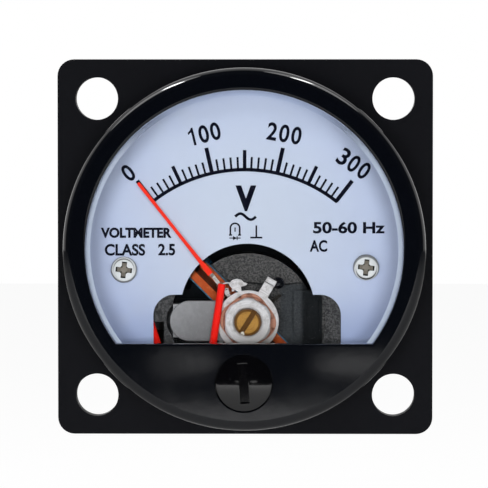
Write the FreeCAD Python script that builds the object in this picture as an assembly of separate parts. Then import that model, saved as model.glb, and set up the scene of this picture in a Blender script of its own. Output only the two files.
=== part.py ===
"""Small square-flange analog panel meter with a pivoted moving coil.

Row frame: +X to the right, +Z up, the face looks towards -Y.
The origin is the centre of the flange's rear face. Lengths are in millimetres.
"""
import FreeCAD, Part
import math
import os

os.makedirs("parts", exist_ok=True)
V = FreeCAD.Vector

# Core, coil and yoke, from the inside outwards
CORE_R = 7.9
CAP_R = CORE_R + 0.1
COIL_AIR = 0.4
COIL_IN_R = CORE_R + COIL_AIR
COIL_T = 0.55
COIL_W = 2.9
CHANNEL = 0.12
BAND_W = 0.9
BAND_GAP = 0.54
GAP_R = COIL_IN_R + COIL_T + 0.45
YOKE_T = 0.75
YOKE_OUT = GAP_R + YOKE_T
COIL_AT = -45.0
STRAP_HALF = 3.6
STAFF_R = 0.35

# Case
BODY_R = 20.5
BODY_WALL = 1.3
BODY_IN = BODY_R - BODY_WALL
FLANGE_T = 2.5
FLANGE_CORNER = 2.0
FLANGE_EDGE = 0.3
SPIGOT_OUT = BODY_R - 0.15
SPIGOT_T = 0.75
SPIGOT_IN = SPIGOT_OUT - SPIGOT_T
SPIGOT_H = 1.8
SPIGOT_Y = -FLANGE_T - SPIGOT_H

# Bezel and window
SKIRT_IN = SPIGOT_OUT + 0.05
SKIRT_T = 1.0
RING_R = SKIRT_IN + SKIRT_T
RING_H = 8.5
RING_Y = -FLANGE_T - RING_H
LIP_T = 1.4
LIP_W = 2.65
LIP_Y = RING_Y + LIP_T
SHOULDER = 1.2
OPENING_R = RING_R - LIP_W
WINDOW_R = SKIRT_IN - 0.2
WINDOW_T = 1.5
WINDOW_LIFT = 0.75
WINDOW_BEVEL = 0.55

# Flange, round the bezel, and its holes in the corners
FLANGE_RIM = 1.1
FLANGE = 2 * (RING_R + FLANGE_RIM)
HOLE_R = 2.55
HOLE_GAP = 1.223
HOLE_PITCH = math.sqrt(2) * (RING_R + HOLE_GAP + HOLE_R)

# Movement axis: the yoke stands just inside the body, below its middle
YOKE_GAP = 0.3
PIVOT_X = 0.35
PIVOT_Z = -(BODY_IN - YOKE_GAP - YOKE_OUT)

# Zero adjuster, in the mask
ADJ_INSET = 3.0
ADJ_X = PIVOT_X - 0.4
ADJ_Z = -(OPENING_R - ADJ_INSET)
ADJ_HEAD_R = 3.3
ADJ_RECESS_R = ADJ_HEAD_R + 0.12
ADJ_FACE = RING_Y + 0.08
ADJ_HEAD_T = 1.0
ADJ_SHAFT_R = 1.5
ADJ_BORE_R = ADJ_SHAFT_R + 0.06
ADJ_E = 0.6
PIN_R = 0.45
FORK_HALF = PIN_R + 0.1
BOSS_R = 3.65
BOSS_REAR = LIP_Y + 1.2

# Straight edges above the adjuster: mask, window, dial and frame, each hidden by the one before
CHORD_Z = ADJ_Z + 4.65
WINDOW_CHORD = CHORD_Z - 0.9
DIAL_CHORD = CHORD_Z - 2.4
FRAME_CUT_Z = CHORD_Z - 2.9

# Dial
DIAL_R = SPIGOT_IN - 0.2
DIAL_T = 0.6
DIAL_REAR = -FLANGE_T
DIAL_Y = DIAL_REAR - DIAL_T
CUT_X = PIVOT_X - 0.05
CUT_Z = PIVOT_Z + 1.17
CUT_R = CAP_R + 0.1
LOBE_LEFT = PIVOT_X - 11.35
LOBE_RIGHT = PIVOT_X + 11.15
LOBE_TOP = PIVOT_Z + 3.15
LOBE_R = 2.5
INK = 0.05

# Scale print
SCALE_X = PIVOT_X - 0.4
SCALE_Z = PIVOT_Z + 0.35
NUMBER_BAND = 10.11
SCALE_R = DIAL_R - SCALE_Z - NUMBER_BAND
SCALE_HALF = 38.05
DIVISIONS = 30
ARC_T = 0.38

# Dial screws
DIAL_SCREW_X = DIAL_R - 4.9
DIAL_SCREW_Z = LOBE_TOP + 3.0
DIAL_SCREW_R = 0.8
DIAL_HEAD_R = 1.5
DIAL_HEAD_T = 1.0

# Movement frame
FRAME_R = BODY_IN - 0.3
FRAME_T = 1.5
FRAME_Y = -FLANGE_T
FRAME_REAR = FRAME_Y + FRAME_T
FRAME_SCREW_X = FRAME_R - 7.4
FRAME_SCREW_Z = FRAME_R - 9.4

# Depths of the movement
YOKE_REAR = 8.2
CORE_REAR = YOKE_REAR - 0.8
COIL_REAR = YOKE_REAR - 0.5
CAP_Y = FRAME_REAR + 0.5
CORE_Y = CAP_Y + 0.6
COIL_FRONT = CAP_Y - 0.3

# Pointer
POINTER_AT = -38.4
POINTER_T = 0.25
POINTER_ROOT = GAP_R - 2.1
POINTER_TIP = SCALE_R + 3.36
ARM_Y = FRAME_Y + 0.2
ARM_T = 0.2
ARM_W = 0.45

# Bridges, zero lever and jewel screws
BRIDGE_Y = DIAL_Y - 0.5
BRIDGE_T = 0.8
BRIDGE_HALF = 2.42
BRIDGE_REACH = GAP_R + 0.05
POINTER_Y = BRIDGE_Y - 0.45
LEVER_T = 0.25
LEVER_R = 3.7
WASHER_T = 0.25
WASHER_R = 3.25
NUT_AF = 5.5
NUT_T = 1.8
JEWEL_R = 1.65
JEWEL_SEAT = BRIDGE_Y + 0.7
LEVER_BORE = JEWEL_R + 0.07
BEAD_R = 0.7
BEAD_AT = 38.5
BEAD_REACH = 5.85
SCREW_FACE = BRIDGE_Y - 2.8
REAR_BRIDGE_Y = YOKE_REAR + 1.6
REAR_SCREW_END = REAR_BRIDGE_Y + 3.4
POST_R = 1.7
REAR_POST_X = YOKE_OUT + POST_R + 2.45

# Circuit board, and the floor of the body behind it
BOARD_AIR = 2.2
BOARD_Y = REAR_SCREW_END + BOARD_AIR
BOARD_T = 1.6
BOARD_R = BODY_IN - 0.8
LEAD_R = 0.45
STUD_HEAD_T = 3.0
STUD_HEAD_Y = BOARD_Y + BOARD_T
FLOOR_Y = STUD_HEAD_Y + STUD_HEAD_T
FLOOR = 2.0
BODY_DEPTH = FLOOR_Y + FLOOR

# Terminals
STUD_X = 10.0
STUD_R = 2.0
STUD_BOSS_R = 3.9
BOSS_Y = BODY_DEPTH + 1.0
STUD_OUT = 13.0
STUD_END = BOSS_Y + STUD_OUT
STUD_LEAD = 6.0
STUD_LEAD_R = STUD_R - 0.4
TERM_AF = 7.0

# Where the adjuster's pin stands, on the line from the movement axis through the adjuster
ADJ_DX = ADJ_X - PIVOT_X
ADJ_DZ = ADJ_Z - PIVOT_Z
ADJ_L = math.hypot(ADJ_DX, ADJ_DZ)
PIN_X = ADJ_X + ADJ_E * ADJ_DX / ADJ_L
PIN_Z = ADJ_Z + ADJ_E * ADJ_DZ / ADJ_L
FORK_AT = math.degrees(math.atan2(ADJ_DX, ADJ_DZ))


def cyl(r, y0, y1, x=0.0, z=0.0):
    """A cylinder along Y from y0 to y1."""
    return Part.makeCylinder(r, y1 - y0, V(x, y0, z), V(0, 1, 0))


def ring(r_out, r_in, y0, y1, x=0.0, z=0.0):
    """A tube along Y."""
    return cyl(r_out, y0, y1, x, z).cut(cyl(r_in, y0 - 1, y1 + 1, x, z))


def box(x0, x1, y0, y1, z0, z1):
    """A block between two corners."""
    return Part.makeBox(x1 - x0, y1 - y0, z1 - z0, V(x0, y0, z0))


def prism(points, y0, y1):
    """A closed outline of (x, z) points, extruded along Y."""
    loop = [V(x, y0, z) for x, z in points]
    face = Part.Face(Part.makePolygon(loop + [loop[0]]))
    return face.extrude(V(0, y1 - y0, 0))


def turned(profile, x=0.0, z=0.0):
    """A closed profile of (radius, y) points, revolved about an axis along Y."""
    loop = [V(x + r, y, z) for r, y in profile]
    face = Part.Face(Part.makePolygon(loop + [loop[0]]))
    return face.revolve(V(x, 0, z), V(0, 1, 0), 360)


def at_axis(shape, angle, x=PIVOT_X, z=PIVOT_Z):
    """Turn a shape about an axis along Y: a positive angle is clockwise seen from the front."""
    out = shape.copy()
    out.rotate(V(x, 0, z), V(0, 1, 0), angle)
    return out


def polar(angle, r, x=PIVOT_X, z=PIVOT_Z):
    """A point (x, z) at a radius, clockwise from straight up."""
    a = math.radians(angle)
    return x + r * math.sin(a), z + r * math.cos(a)


def hexagon(across, y0, y1, x, z, turn=0.0):
    """A hexagonal prism by its size across flats."""
    r = across / math.sqrt(3)
    return prism([polar(60 * i + turn, r, x, z) for i in range(6)], y0, y1)


def arc_points(cx, cz, r, start, end, n):
    """Points of an arc, its angles clockwise from straight up."""
    return [polar(start + (end - start) * i / n, r, cx, cz) for i in range(n + 1)]


def edges_at_y(shape, y, tol=1e-4):
    """The edges that lie in one plane across Y."""
    return [e for e in shape.Edges if abs(e.BoundBox.YMin - y) < tol and abs(e.BoundBox.YMax - y) < tol]


def save(name, shape):
    """Write one node and print its size."""
    solids = shape.Solids
    if len(solids) != 1 or not solids[0].isValid():
        print("CHECK", name, "solids", len(solids), "valid", shape.isValid())
    out = solids[0] if len(solids) == 1 else shape
    out.exportStep("parts/" + name + ".step")
    b = out.BoundBox
    print("%-24s x %7.2f %7.2f  y %7.2f %7.2f  z %7.2f %7.2f  vol %9.3f" % (
        name, b.XMin, b.XMax, b.YMin, b.YMax, b.ZMin, b.ZMax, out.Volume))


def flange_plate():
    """The square flange with rounded corners and softened edges."""
    h = FLANGE / 2
    plate = box(-h, h, -FLANGE_T, 0, -h, h)
    upright = [e for e in plate.Edges if e.BoundBox.YLength > FLANGE_T - 0.01]
    plate = plate.makeFillet(FLANGE_CORNER, upright)
    rim = edges_at_y(plate, -FLANGE_T) + edges_at_y(plate, 0.0)
    return plate.makeFillet(FLANGE_EDGE, rim)


def rear_case():
    """The moulded case: flange, round body, spigot for the bezel, pillars and terminal bosses."""
    body = turned([(0, BODY_DEPTH), (0, -1.0), (BODY_R, -1.0), (BODY_R, BODY_DEPTH - 0.8),
                   (BODY_R - 0.25, BODY_DEPTH - 0.25), (BODY_R - 0.8, BODY_DEPTH)])
    case = flange_plate().fuse(body).fuse(cyl(SPIGOT_OUT, SPIGOT_Y, -1.0))
    case = case.fuse([cyl(STUD_BOSS_R, BODY_DEPTH - 0.5, BOSS_Y, s * STUD_X, 0) for s in (-1, 1)])
    case = case.cut(cyl(SPIGOT_IN, SPIGOT_Y - 1, -FLANGE_T))
    case = case.cut(cyl(BODY_IN, -FLANGE_T - 1, FLOOR_Y))
    pillars = [cyl(2.0, FRAME_REAR, FLOOR_Y + 0.5, s * FRAME_SCREW_X, FRAME_SCREW_Z) for s in (-1, 1)]
    ribs = [box(-0.5, 0.5, FRAME_REAR, FLOOR_Y + 0.5, BODY_IN - 3.7, BODY_IN + 1.3)]
    ribs[0].rotate(V(0, 0, 0), V(0, 1, 0), math.degrees(math.atan2(FRAME_SCREW_X, FRAME_SCREW_Z)))
    ribs.append(ribs[0].mirror(V(0, 0, 0), V(1, 0, 0)))
    case = case.fuse(pillars)
    for rib in ribs:
        grown = rib.common(cyl(BODY_IN + 0.4, FRAME_REAR, BODY_DEPTH - 0.5))
        case = case.fuse(grown)
    drills = [cyl(HOLE_R, -FLANGE_T - 1, 1, sx * HOLE_PITCH / 2, sz * HOLE_PITCH / 2)
              for sx in (-1, 1) for sz in (-1, 1)]
    drills += [cyl(STUD_R + 0.05, FLOOR_Y - 2, BOSS_Y + 1, s * STUD_X, 0) for s in (-1, 1)]
    drills += [cyl(0.9, FRAME_REAR - 1, 7.0, s * FRAME_SCREW_X, FRAME_SCREW_Z) for s in (-1, 1)]
    return case.cut(drills).removeSplitter()


def front_bezel():
    """The round bezel with its rolled shoulder, the lower mask and the recess of the zero adjuster."""
    skirt = -FLANGE_T
    shoulder = []
    for i in range(7):
        a = math.radians(15 * i)
        shoulder.append((RING_R - SHOULDER + SHOULDER * math.cos(a), RING_Y + SHOULDER - SHOULDER * math.sin(a)))
    outline = [V(SKIRT_IN, skirt, 0), V(RING_R - 0.2, skirt, 0), V(RING_R, skirt - 0.2, 0)]
    edges = [Part.makeLine(a, b) for a, b in zip(outline, outline[1:])]
    start = V(RING_R, RING_Y + SHOULDER, 0)
    mid = V(shoulder[3][0], shoulder[3][1], 0)
    end = V(RING_R - SHOULDER, RING_Y, 0)
    edges.append(Part.makeLine(outline[-1], start))
    edges.append(Part.Arc(start, mid, end).toShape())
    nose = V(OPENING_R + 0.35, RING_Y, 0)
    edges.append(Part.makeLine(end, nose))
    low = V(OPENING_R, RING_Y + 0.35, 0)
    c45 = math.cos(math.radians(45))
    bend = V(OPENING_R + 0.35 - 0.35 * c45, RING_Y + 0.35 - 0.35 * c45, 0)
    edges.append(Part.Arc(nose, bend, low).toShape())
    inner = [low, V(OPENING_R, LIP_Y, 0), V(SKIRT_IN, LIP_Y, 0), V(SKIRT_IN, skirt, 0)]
    edges += [Part.makeLine(a, b) for a, b in zip(inner, inner[1:])]
    rim = Part.Face(Part.Wire(edges)).revolve(V(0, 0, 0), V(0, 1, 0), 360)
    mask = cyl(OPENING_R + 0.6, RING_Y, LIP_Y).cut(box(-30, 30, -20, 0, CHORD_Z, 30))
    lip = [e for e in edges_at_y(mask, RING_Y) if e.BoundBox.ZLength < 0.01]
    mask = mask.makeFillet(0.3, lip)
    bezel = rim.fuse(mask)
    bezel = bezel.fuse(cyl(BOSS_R, LIP_Y - 0.3, BOSS_REAR, ADJ_X, ADJ_Z).common(cyl(SKIRT_IN, -12, 0)))
    recess = cyl(ADJ_RECESS_R, RING_Y - 1, ADJ_FACE + ADJ_HEAD_T, ADJ_X, ADJ_Z)
    bore = cyl(ADJ_BORE_R, RING_Y, 0, ADJ_X, ADJ_Z)
    return bezel.cut([recess, bore]).removeSplitter()


def window():
    """The clear window: a plate behind the bezel's lip, raised into the opening with a bevelled rim."""
    rear = LIP_Y + WINDOW_T
    plate = cyl(WINDOW_R, LIP_Y, rear).cut(box(-30, 30, -30, 0, -30, WINDOW_CHORD))
    r = OPENING_R - 0.05
    lift = turned([(0, LIP_Y + 0.5), (r, LIP_Y + 0.5), (r, LIP_Y - WINDOW_LIFT + WINDOW_BEVEL),
                   (r - WINDOW_BEVEL, LIP_Y - WINDOW_LIFT), (0, LIP_Y - WINDOW_LIFT)])
    lift = lift.cut(box(-30, 30, -30, 0, -30, CHORD_Z + 0.05))
    front = LIP_Y - WINDOW_LIFT
    chord = [e for e in edges_at_y(lift, front) if e.BoundBox.ZLength < 0.01]
    lift = lift.makeChamfer(0.25, chord)
    return plate.fuse(lift).removeSplitter()


def dial_opening(y0, y1, grow=0.0):
    """The opening cut in the dial for the movement, open at the bottom."""
    disc = cyl(CUT_R + grow, y0, y1, CUT_X, CUT_Z)
    low, top = -30.0, LOBE_TOP + grow
    side = box(LOBE_LEFT - grow, LOBE_RIGHT + grow, y0, y1, low, top)
    corner = [e for e in side.Edges if e.BoundBox.YLength > 0.1 and abs(e.BoundBox.ZMax - top) < 1e-4]
    return disc.fuse(side.makeFillet(LOBE_R, corner))


def dial_plate():
    """The printed metal dial."""
    plate = cyl(DIAL_R, DIAL_Y, DIAL_REAR)
    plate = plate.cut(box(-30, 30, DIAL_Y - 1, DIAL_REAR + 1, -30, DIAL_CHORD))
    plate = plate.cut(dial_opening(DIAL_Y - 1, DIAL_REAR + 1))
    holes = [cyl(DIAL_SCREW_R + 0.1, DIAL_Y - 1, 0, s * DIAL_SCREW_X, DIAL_SCREW_Z) for s in (-1, 1)]
    return plate.cut(holes).removeSplitter()


def dial_scale():
    """The scale line and its division marks, a thin layer of ink on the dial."""
    y0, y1 = DIAL_Y - INK, DIAL_Y
    n = 44
    outer = arc_points(SCALE_X, SCALE_Z, SCALE_R + ARC_T / 2, -SCALE_HALF - 0.55, SCALE_HALF + 0.55, n)
    inner = arc_points(SCALE_X, SCALE_Z, SCALE_R - ARC_T / 2, SCALE_HALF + 0.55, -SCALE_HALF - 0.55, n)
    line = prism(outer + inner, y0, y1)
    marks = []
    for i in range(DIVISIONS + 1):
        angle = -SCALE_HALF + 2 * SCALE_HALF * i / DIVISIONS
        if i % 10 == 0:
            length, width = 20.87, 0.42
        elif i % 5 == 0:
            length, width = 20.1, 0.36
        else:
            length, width = 19.3, 0.21
        mark = box(SCALE_X - width / 2, SCALE_X + width / 2, y0, y1, SCALE_Z + SCALE_R, SCALE_Z + length)
        marks.append(at_axis(mark, angle, SCALE_X, SCALE_Z))
    return line.fuse(marks).removeSplitter()


def dial_screw(side):
    """A pan head screw that holds the dial."""
    x, z = side * DIAL_SCREW_X, DIAL_SCREW_Z
    top = DIAL_Y - DIAL_HEAD_T
    head = turned([(0, DIAL_Y), (DIAL_HEAD_R, DIAL_Y), (DIAL_HEAD_R, top + 0.55), (1.32, top + 0.2),
                   (1.0, top), (0, top)], x, z)
    slots = box(x - 0.2, x + 0.2, top - 0.1, top + 0.6, z - 0.85, z + 0.85)
    cross = slots.fuse(at_axis(slots, 90, x, z))
    return head.fuse(cyl(DIAL_SCREW_R, DIAL_Y, 1.5, x, z)).cut(at_axis(cross, 20 * side, x, z))


def bridge_outline(y0, y1, grow=0.0):
    """The cantilever outline of the front bridge, with a round end on the left."""
    r = BRIDGE_HALF + grow
    end_x = PIVOT_X - BRIDGE_REACH + BRIDGE_HALF
    bar = box(end_x, PIVOT_X, y0, y1, PIVOT_Z - r, PIVOT_Z + r)
    return bar.fuse(cyl(r, y0, y1, end_x, PIVOT_Z))


def movement_frame():
    """The moulded plate that carries the movement, with posts for the dial screws and the rear bridge."""
    plate = cyl(FRAME_R, FRAME_Y, FRAME_REAR)
    plate = plate.cut(box(-30, 30, FRAME_Y - 1, FRAME_REAR + 1, -30, FRAME_CUT_Z))
    opening = cyl(GAP_R, FRAME_Y - 1, FRAME_REAR + 1, PIVOT_X, PIVOT_Z)
    opening = opening.fuse(bridge_outline(FRAME_Y - 1, FRAME_REAR + 1, 0.45))
    plate = plate.cut(opening)
    posts = [cyl(1.6, FRAME_REAR - 0.5, 2.5, s * DIAL_SCREW_X, DIAL_SCREW_Z) for s in (-1, 1)]
    posts += [cyl(POST_R, FRAME_REAR - 0.5, REAR_BRIDGE_Y, PIVOT_X + s * REAR_POST_X, PIVOT_Z) for s in (-1, 1)]
    sleeve = ring(YOKE_OUT + YOKE_T, YOKE_OUT, FRAME_REAR - 0.5, 3.0, PIVOT_X, PIVOT_Z)
    sleeve = sleeve.cut(box(-30, 30, -10, 10, -30, PIVOT_Z + 2.5))
    frame = plate.fuse(posts + [sleeve])
    notch = [box(-12.7, -9.75, -5, 0, -12.3, -9.0), box(-12.7, -9.2, -5, 0, -15, -12.2),
             box(-12.9, -10.85, -5, 0, -9.1, -6.2)]
    holes = [cyl(DIAL_SCREW_R, FRAME_Y - 1, 2.0, s * DIAL_SCREW_X, DIAL_SCREW_Z) for s in (-1, 1)]
    holes += [cyl(0.7, 4.0, REAR_BRIDGE_Y + 1, PIVOT_X + s * REAR_POST_X, PIVOT_Z) for s in (-1, 1)]
    for s in (-1, 1):
        holes.append(cyl(1.0, FRAME_Y - 1, 0, s * FRAME_SCREW_X, FRAME_SCREW_Z))
        holes.append(cyl(1.8, FRAME_Y - 1, FRAME_Y + 0.85, s * FRAME_SCREW_X, FRAME_SCREW_Z))
    return frame.cut(notch + holes).removeSplitter()


def frame_screw(side):
    """A cheese head screw that holds the frame in the case, below the dial."""
    x, z = side * FRAME_SCREW_X, FRAME_SCREW_Z
    head = cyl(1.65, FRAME_Y + 0.1, FRAME_Y + 0.85, x, z)
    slot = box(x - 2, x + 2, FRAME_Y - 0.1, FRAME_Y + 0.45, z - 0.2, z + 0.2)
    return head.cut(at_axis(slot, 35 * side, x, z)).fuse(cyl(0.9, FRAME_Y + 0.85, 6.0, x, z))


def yoke_ring():
    """The soft iron ring round the coil gap."""
    return ring(YOKE_OUT, GAP_R, FRAME_REAR, YOKE_REAR, PIVOT_X, PIVOT_Z)


def core_carrier():
    """The moulded cap of the core, with ears that reach the yoke on both sides of the coil's travel."""
    cap = cyl(CAP_R, CAP_Y, CORE_Y, PIVOT_X, PIVOT_Z)
    reach = cyl(GAP_R, CAP_Y, CORE_Y + 1.2, PIVOT_X, PIVOT_Z)
    strap = box(PIVOT_X - GAP_R, PIVOT_X + GAP_R, CAP_Y, CORE_Y + 1.2, PIVOT_Z - STRAP_HALF, PIVOT_Z + STRAP_HALF)
    ears = strap.common(reach).cut(cyl(CORE_R + 0.02, CORE_Y, CORE_Y + 3, PIVOT_X, PIVOT_Z))
    step = box(PIVOT_X + 5.5, PIVOT_X + GAP_R, CAP_Y - 1.0, CAP_Y, PIVOT_Z - 1.5, PIVOT_Z + STRAP_HALF)
    step = step.common(cyl(GAP_R, -3, 3, PIVOT_X, PIVOT_Z))
    step = step.cut(box(PIVOT_X + 7.0, PIVOT_X + 8.6, CAP_Y - 2, CAP_Y - 0.3, PIVOT_Z - 5, PIVOT_Z + 3.0))
    carrier = cap.fuse([ears, step])
    seam = box(PIVOT_X - 1.0, PIVOT_X + CAP_R, CAP_Y - 0.1, CAP_Y + 0.12, PIVOT_Z + 4.0, PIVOT_Z + 4.12)
    pocket = cyl(CAP_R + 1, CAP_Y - 1, CAP_Y + 0.35, PIVOT_X, PIVOT_Z)
    pocket = pocket.common(box(PIVOT_X - 10, PIVOT_X - 1.2, -3, 3, PIVOT_Z + BRIDGE_HALF + 0.1, PIVOT_Z + 9))
    hub = cyl(1.2, CAP_Y - 1, CORE_Y + 1, PIVOT_X, PIVOT_Z)
    return carrier.cut([seam, pocket, hub]).removeSplitter()


def core_magnet():
    """The cylindrical core magnet inside the coil."""
    body = turned([(0, CORE_Y), (CORE_R, CORE_Y), (CORE_R, CORE_REAR - 0.3), (CORE_R - 0.3, CORE_REAR),
                   (0, CORE_REAR)], PIVOT_X, PIVOT_Z)
    return body.cut(cyl(1.2, -1, 9, PIVOT_X, PIVOT_Z))


def front_bridge():
    """The cast cantilever arm that carries the front jewel screw, with its foot on the core's carrier."""
    rear = BRIDGE_Y + BRIDGE_T
    arm = bridge_outline(BRIDGE_Y, rear).fuse(cyl(3.0, BRIDGE_Y, rear, PIVOT_X, PIVOT_Z))
    arm = arm.removeSplitter()
    rim = edges_at_y(arm, BRIDGE_Y)
    arm = arm.makeChamfer(0.08, rim)
    foot = box(PIVOT_X - 9.0, PIVOT_X - 6.4, rear - 0.2, CAP_Y, PIVOT_Z - 2.0, PIVOT_Z + 2.0)
    bridge = arm.fuse(foot)
    return bridge.cut(cyl(JEWEL_R, BRIDGE_Y - 1, rear + 1, PIVOT_X, PIVOT_Z)).removeSplitter()


def rear_bridge():
    """The flat rear bridge, screwed to the frame's two long posts."""
    y0, y1 = REAR_BRIDGE_Y, REAR_BRIDGE_Y + 0.8
    bar = box(PIVOT_X - REAR_POST_X, PIVOT_X + REAR_POST_X, y0, y1, PIVOT_Z - 1.9, PIVOT_Z + 1.9)
    ends = [cyl(1.9, y0, y1, PIVOT_X + s * REAR_POST_X, PIVOT_Z) for s in (-1, 1)]
    bar = bar.fuse(ends + [cyl(4.7, y0, y1, PIVOT_X, PIVOT_Z)])
    holes = [cyl(0.8, y0 - 1, y1 + 1, PIVOT_X + s * REAR_POST_X, PIVOT_Z) for s in (-1, 1)]
    holes.append(cyl(JEWEL_R, y0 - 1, y1 + 1, PIVOT_X, PIVOT_Z))
    return bar.cut(holes).removeSplitter()


def bridge_screw(side):
    """A small cheese head screw of the rear bridge."""
    x = PIVOT_X + side * REAR_POST_X
    y = REAR_BRIDGE_Y + 0.8
    head = cyl(1.4, y, y + 0.9, x, PIVOT_Z)
    slot = box(x - 2, x + 2, y + 0.5, y + 1, PIVOT_Z - 0.18, PIVOT_Z + 0.18)
    return head.cut(at_axis(slot, 25 + 40 * side, x, PIVOT_Z)).fuse(cyl(0.7, 5.0, y, x, PIVOT_Z))


def jewel_screw(face, tail, sign):
    """A slotted brass screw with a bore for its jewel. The face is the slotted end."""
    x, z = PIVOT_X, PIVOT_Z
    body = turned([(0, face), (1.3, face), (1.45, face + sign * 0.08), (JEWEL_R, face + sign * 0.3),
                   (JEWEL_R, tail), (0, tail)], x, z)
    slot = box(x - 0.375, x + 0.375, min(face - sign, face + sign * 0.55), max(face - sign, face + sign * 0.55),
               z - 2, z + 2)
    bore = cyl(0.75, min(tail, tail - sign * 1.0), max(tail, tail - sign * 1.0), x, z)
    return body.cut([at_axis(slot, 32.5), bore])


def jewel(tail, sign):
    """A pierced jewel, pressed in the jewel screw's bore."""
    y0, y1 = sorted((tail, tail - sign * 0.9))
    return ring(0.75, STAFF_R + 0.05, y0, y1, PIVOT_X, PIVOT_Z)


def lock_nut(y0, y1, outward):
    """A chamfered hexagon nut that locks a jewel screw."""
    nut = hexagon(NUT_AF, y0, y1, PIVOT_X, PIVOT_Z, 2.0)
    tip = NUT_AF / math.sqrt(3)
    if outward < 0:
        cone = turned([(0, y1), (tip + 0.1, y1), (tip + 0.1, y0 + 0.42), (2.55, y0), (0, y0)], PIVOT_X, PIVOT_Z)
    else:
        cone = turned([(0, y0), (tip + 0.1, y0), (tip + 0.1, y1 - 0.42), (2.55, y1), (0, y1)], PIVOT_X, PIVOT_Z)
    return nut.common(cone).cut(cyl(JEWEL_R, y0 - 1, y1 + 1, PIVOT_X, PIVOT_Z))


def friction_washer():
    """The wavy bronze washer between the lock nut and the zero lever, kept flat here."""
    y1 = BRIDGE_Y - LEVER_T
    points = []
    for i in range(36):
        r = WASHER_R + 0.16 * math.cos(math.radians(6 * 10 * i))
        points.append(polar(10 * i, r))
    return prism(points, y1 - WASHER_T, y1).cut(cyl(JEWEL_R, -9, 0, PIVOT_X, PIVOT_Z))


def zero_lever():
    """The zero lever: a disc on the jewel screw with a tail fork, a raised tab and the spring's ear."""
    y0, y1 = BRIDGE_Y - LEVER_T, BRIDGE_Y
    disc = cyl(LEVER_R, y0, y1, PIVOT_X, PIVOT_Z)
    tail = box(PIVOT_X - 1.15, PIVOT_X + 1.15, y0, y1, PIVOT_Z + 2.5, PIVOT_Z + 8.4)
    tail = tail.cut(box(PIVOT_X - FORK_HALF, PIVOT_X + FORK_HALF, y0 - 1, y1 + 1, PIVOT_Z + 6.2, PIVOT_Z + 9))
    tab = box(PIVOT_X - 0.64, PIVOT_X + 0.64, y0, y1, PIVOT_Z + 3.2, PIVOT_Z + 5.3)
    rise = box(PIVOT_X - 0.64, PIVOT_X + 0.64, y0 - 0.55, y1, PIVOT_Z + 5.3 - LEVER_T, PIVOT_Z + 5.3)
    lip = box(PIVOT_X - 0.64, PIVOT_X + 0.64, y0 - 0.55, y0 - 0.3, PIVOT_Z + 5.05, PIVOT_Z + 5.86)
    ear = box(PIVOT_X - 0.85, PIVOT_X + 0.85, y0, y1, PIVOT_Z + 3.0, PIVOT_Z + 4.7)
    ear = ear.fuse(cyl(0.85, y0, y1, PIVOT_X, PIVOT_Z + 4.7))
    hook = box(PIVOT_X - 0.85, PIVOT_X - 0.55, y1, y1 + 1.17, PIVOT_Z + 3.92, PIVOT_Z + 4.2)
    lever = disc.fuse([at_axis(tail, FORK_AT), at_axis(tab, 30), at_axis(rise, 30), at_axis(lip, 30),
                       at_axis(ear, -16), at_axis(hook, -16)])
    seat = cyl(BEAD_R + 0.05, y0 - 0.3, y1 + 1, *polar(BEAD_AT, BEAD_REACH))
    return lever.cut(cyl(LEVER_BORE, -9, 0, PIVOT_X, PIVOT_Z)).cut(seat).removeSplitter()


def stop_bead():
    """The round black bead behind the tab of the zero lever."""
    x, z = polar(BEAD_AT, BEAD_REACH)
    r = BEAD_R
    y1 = BRIDGE_Y - LEVER_T - 0.3
    return turned([(0, y1), (r - 0.25, y1), (r, y1 + 0.25), (r, y1 + 0.65), (r - 0.25, y1 + 0.9), (0, y1 + 0.9)], x, z)


def coil_section(inner_r, front, rear, thick, half_w, offset=0.0):
    """A closed rectangular loop round the core, before it is turned about the pivot."""
    def outline(r, y0, y1, corner):
        x = PIVOT_X + offset - half_w
        z0, z1 = PIVOT_Z - r, PIVOT_Z + r
        points = [(y0, z0 + corner), (y0, z1 - corner), (y0 + corner, z1), (y1 - corner, z1),
                  (y1, z1 - corner), (y1, z0 + corner), (y1 - corner, z0), (y0 + corner, z0)]
        c = corner * (1 - math.cos(math.radians(45)))
        mids = [None, (y0 + c, z1 - c), None, (y1 - c, z1 - c), None, (y1 - c, z0 + c), None, (y0 + c, z0 + c)]
        edges = []
        for i in range(8):
            a = V(x, points[i][0], points[i][1])
            b = V(x, points[(i + 1) % 8][0], points[(i + 1) % 8][1])
            if mids[i] is None:
                edges.append(Part.makeLine(a, b))
            else:
                m = V(x, mids[i][0], mids[i][1])
                edges.append(Part.Arc(a, m, b).toShape())
        return Part.Face(Part.Wire(edges)).extrude(V(2 * half_w, 0, 0))
    outer = outline(inner_r + thick, front - thick, rear + thick, 0.35 + thick)
    inner = outline(inner_r, front, rear, 0.35)
    return outer.cut(inner)


def coil_former():
    """The aluminium channel that carries the winding."""
    base = coil_section(COIL_IN_R, COIL_FRONT, COIL_REAR, CHANNEL, COIL_W / 2)
    side = COIL_W / 2 - CHANNEL / 2
    rims = [coil_section(COIL_IN_R, COIL_FRONT, COIL_REAR, COIL_T, CHANNEL / 2, s * side) for s in (-1, 1)]
    return at_axis(base.fuse(rims).removeSplitter(), COIL_AT)


def coil_winding():
    """The copper winding: two bands side by side over a common base layer."""
    r, front, rear = COIL_IN_R + CHANNEL, COIL_FRONT - CHANNEL, COIL_REAR + CHANNEL
    base = coil_section(r, front, rear, 0.1, COIL_W / 2 - CHANNEL - 0.02)
    side = BAND_GAP / 2 + BAND_W / 2
    bands = [coil_section(r, front, rear, COIL_T - CHANNEL - 0.06, BAND_W / 2, s * side) for s in (-1, 1)]
    return at_axis(base.fuse(bands).removeSplitter(), COIL_AT)


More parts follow.
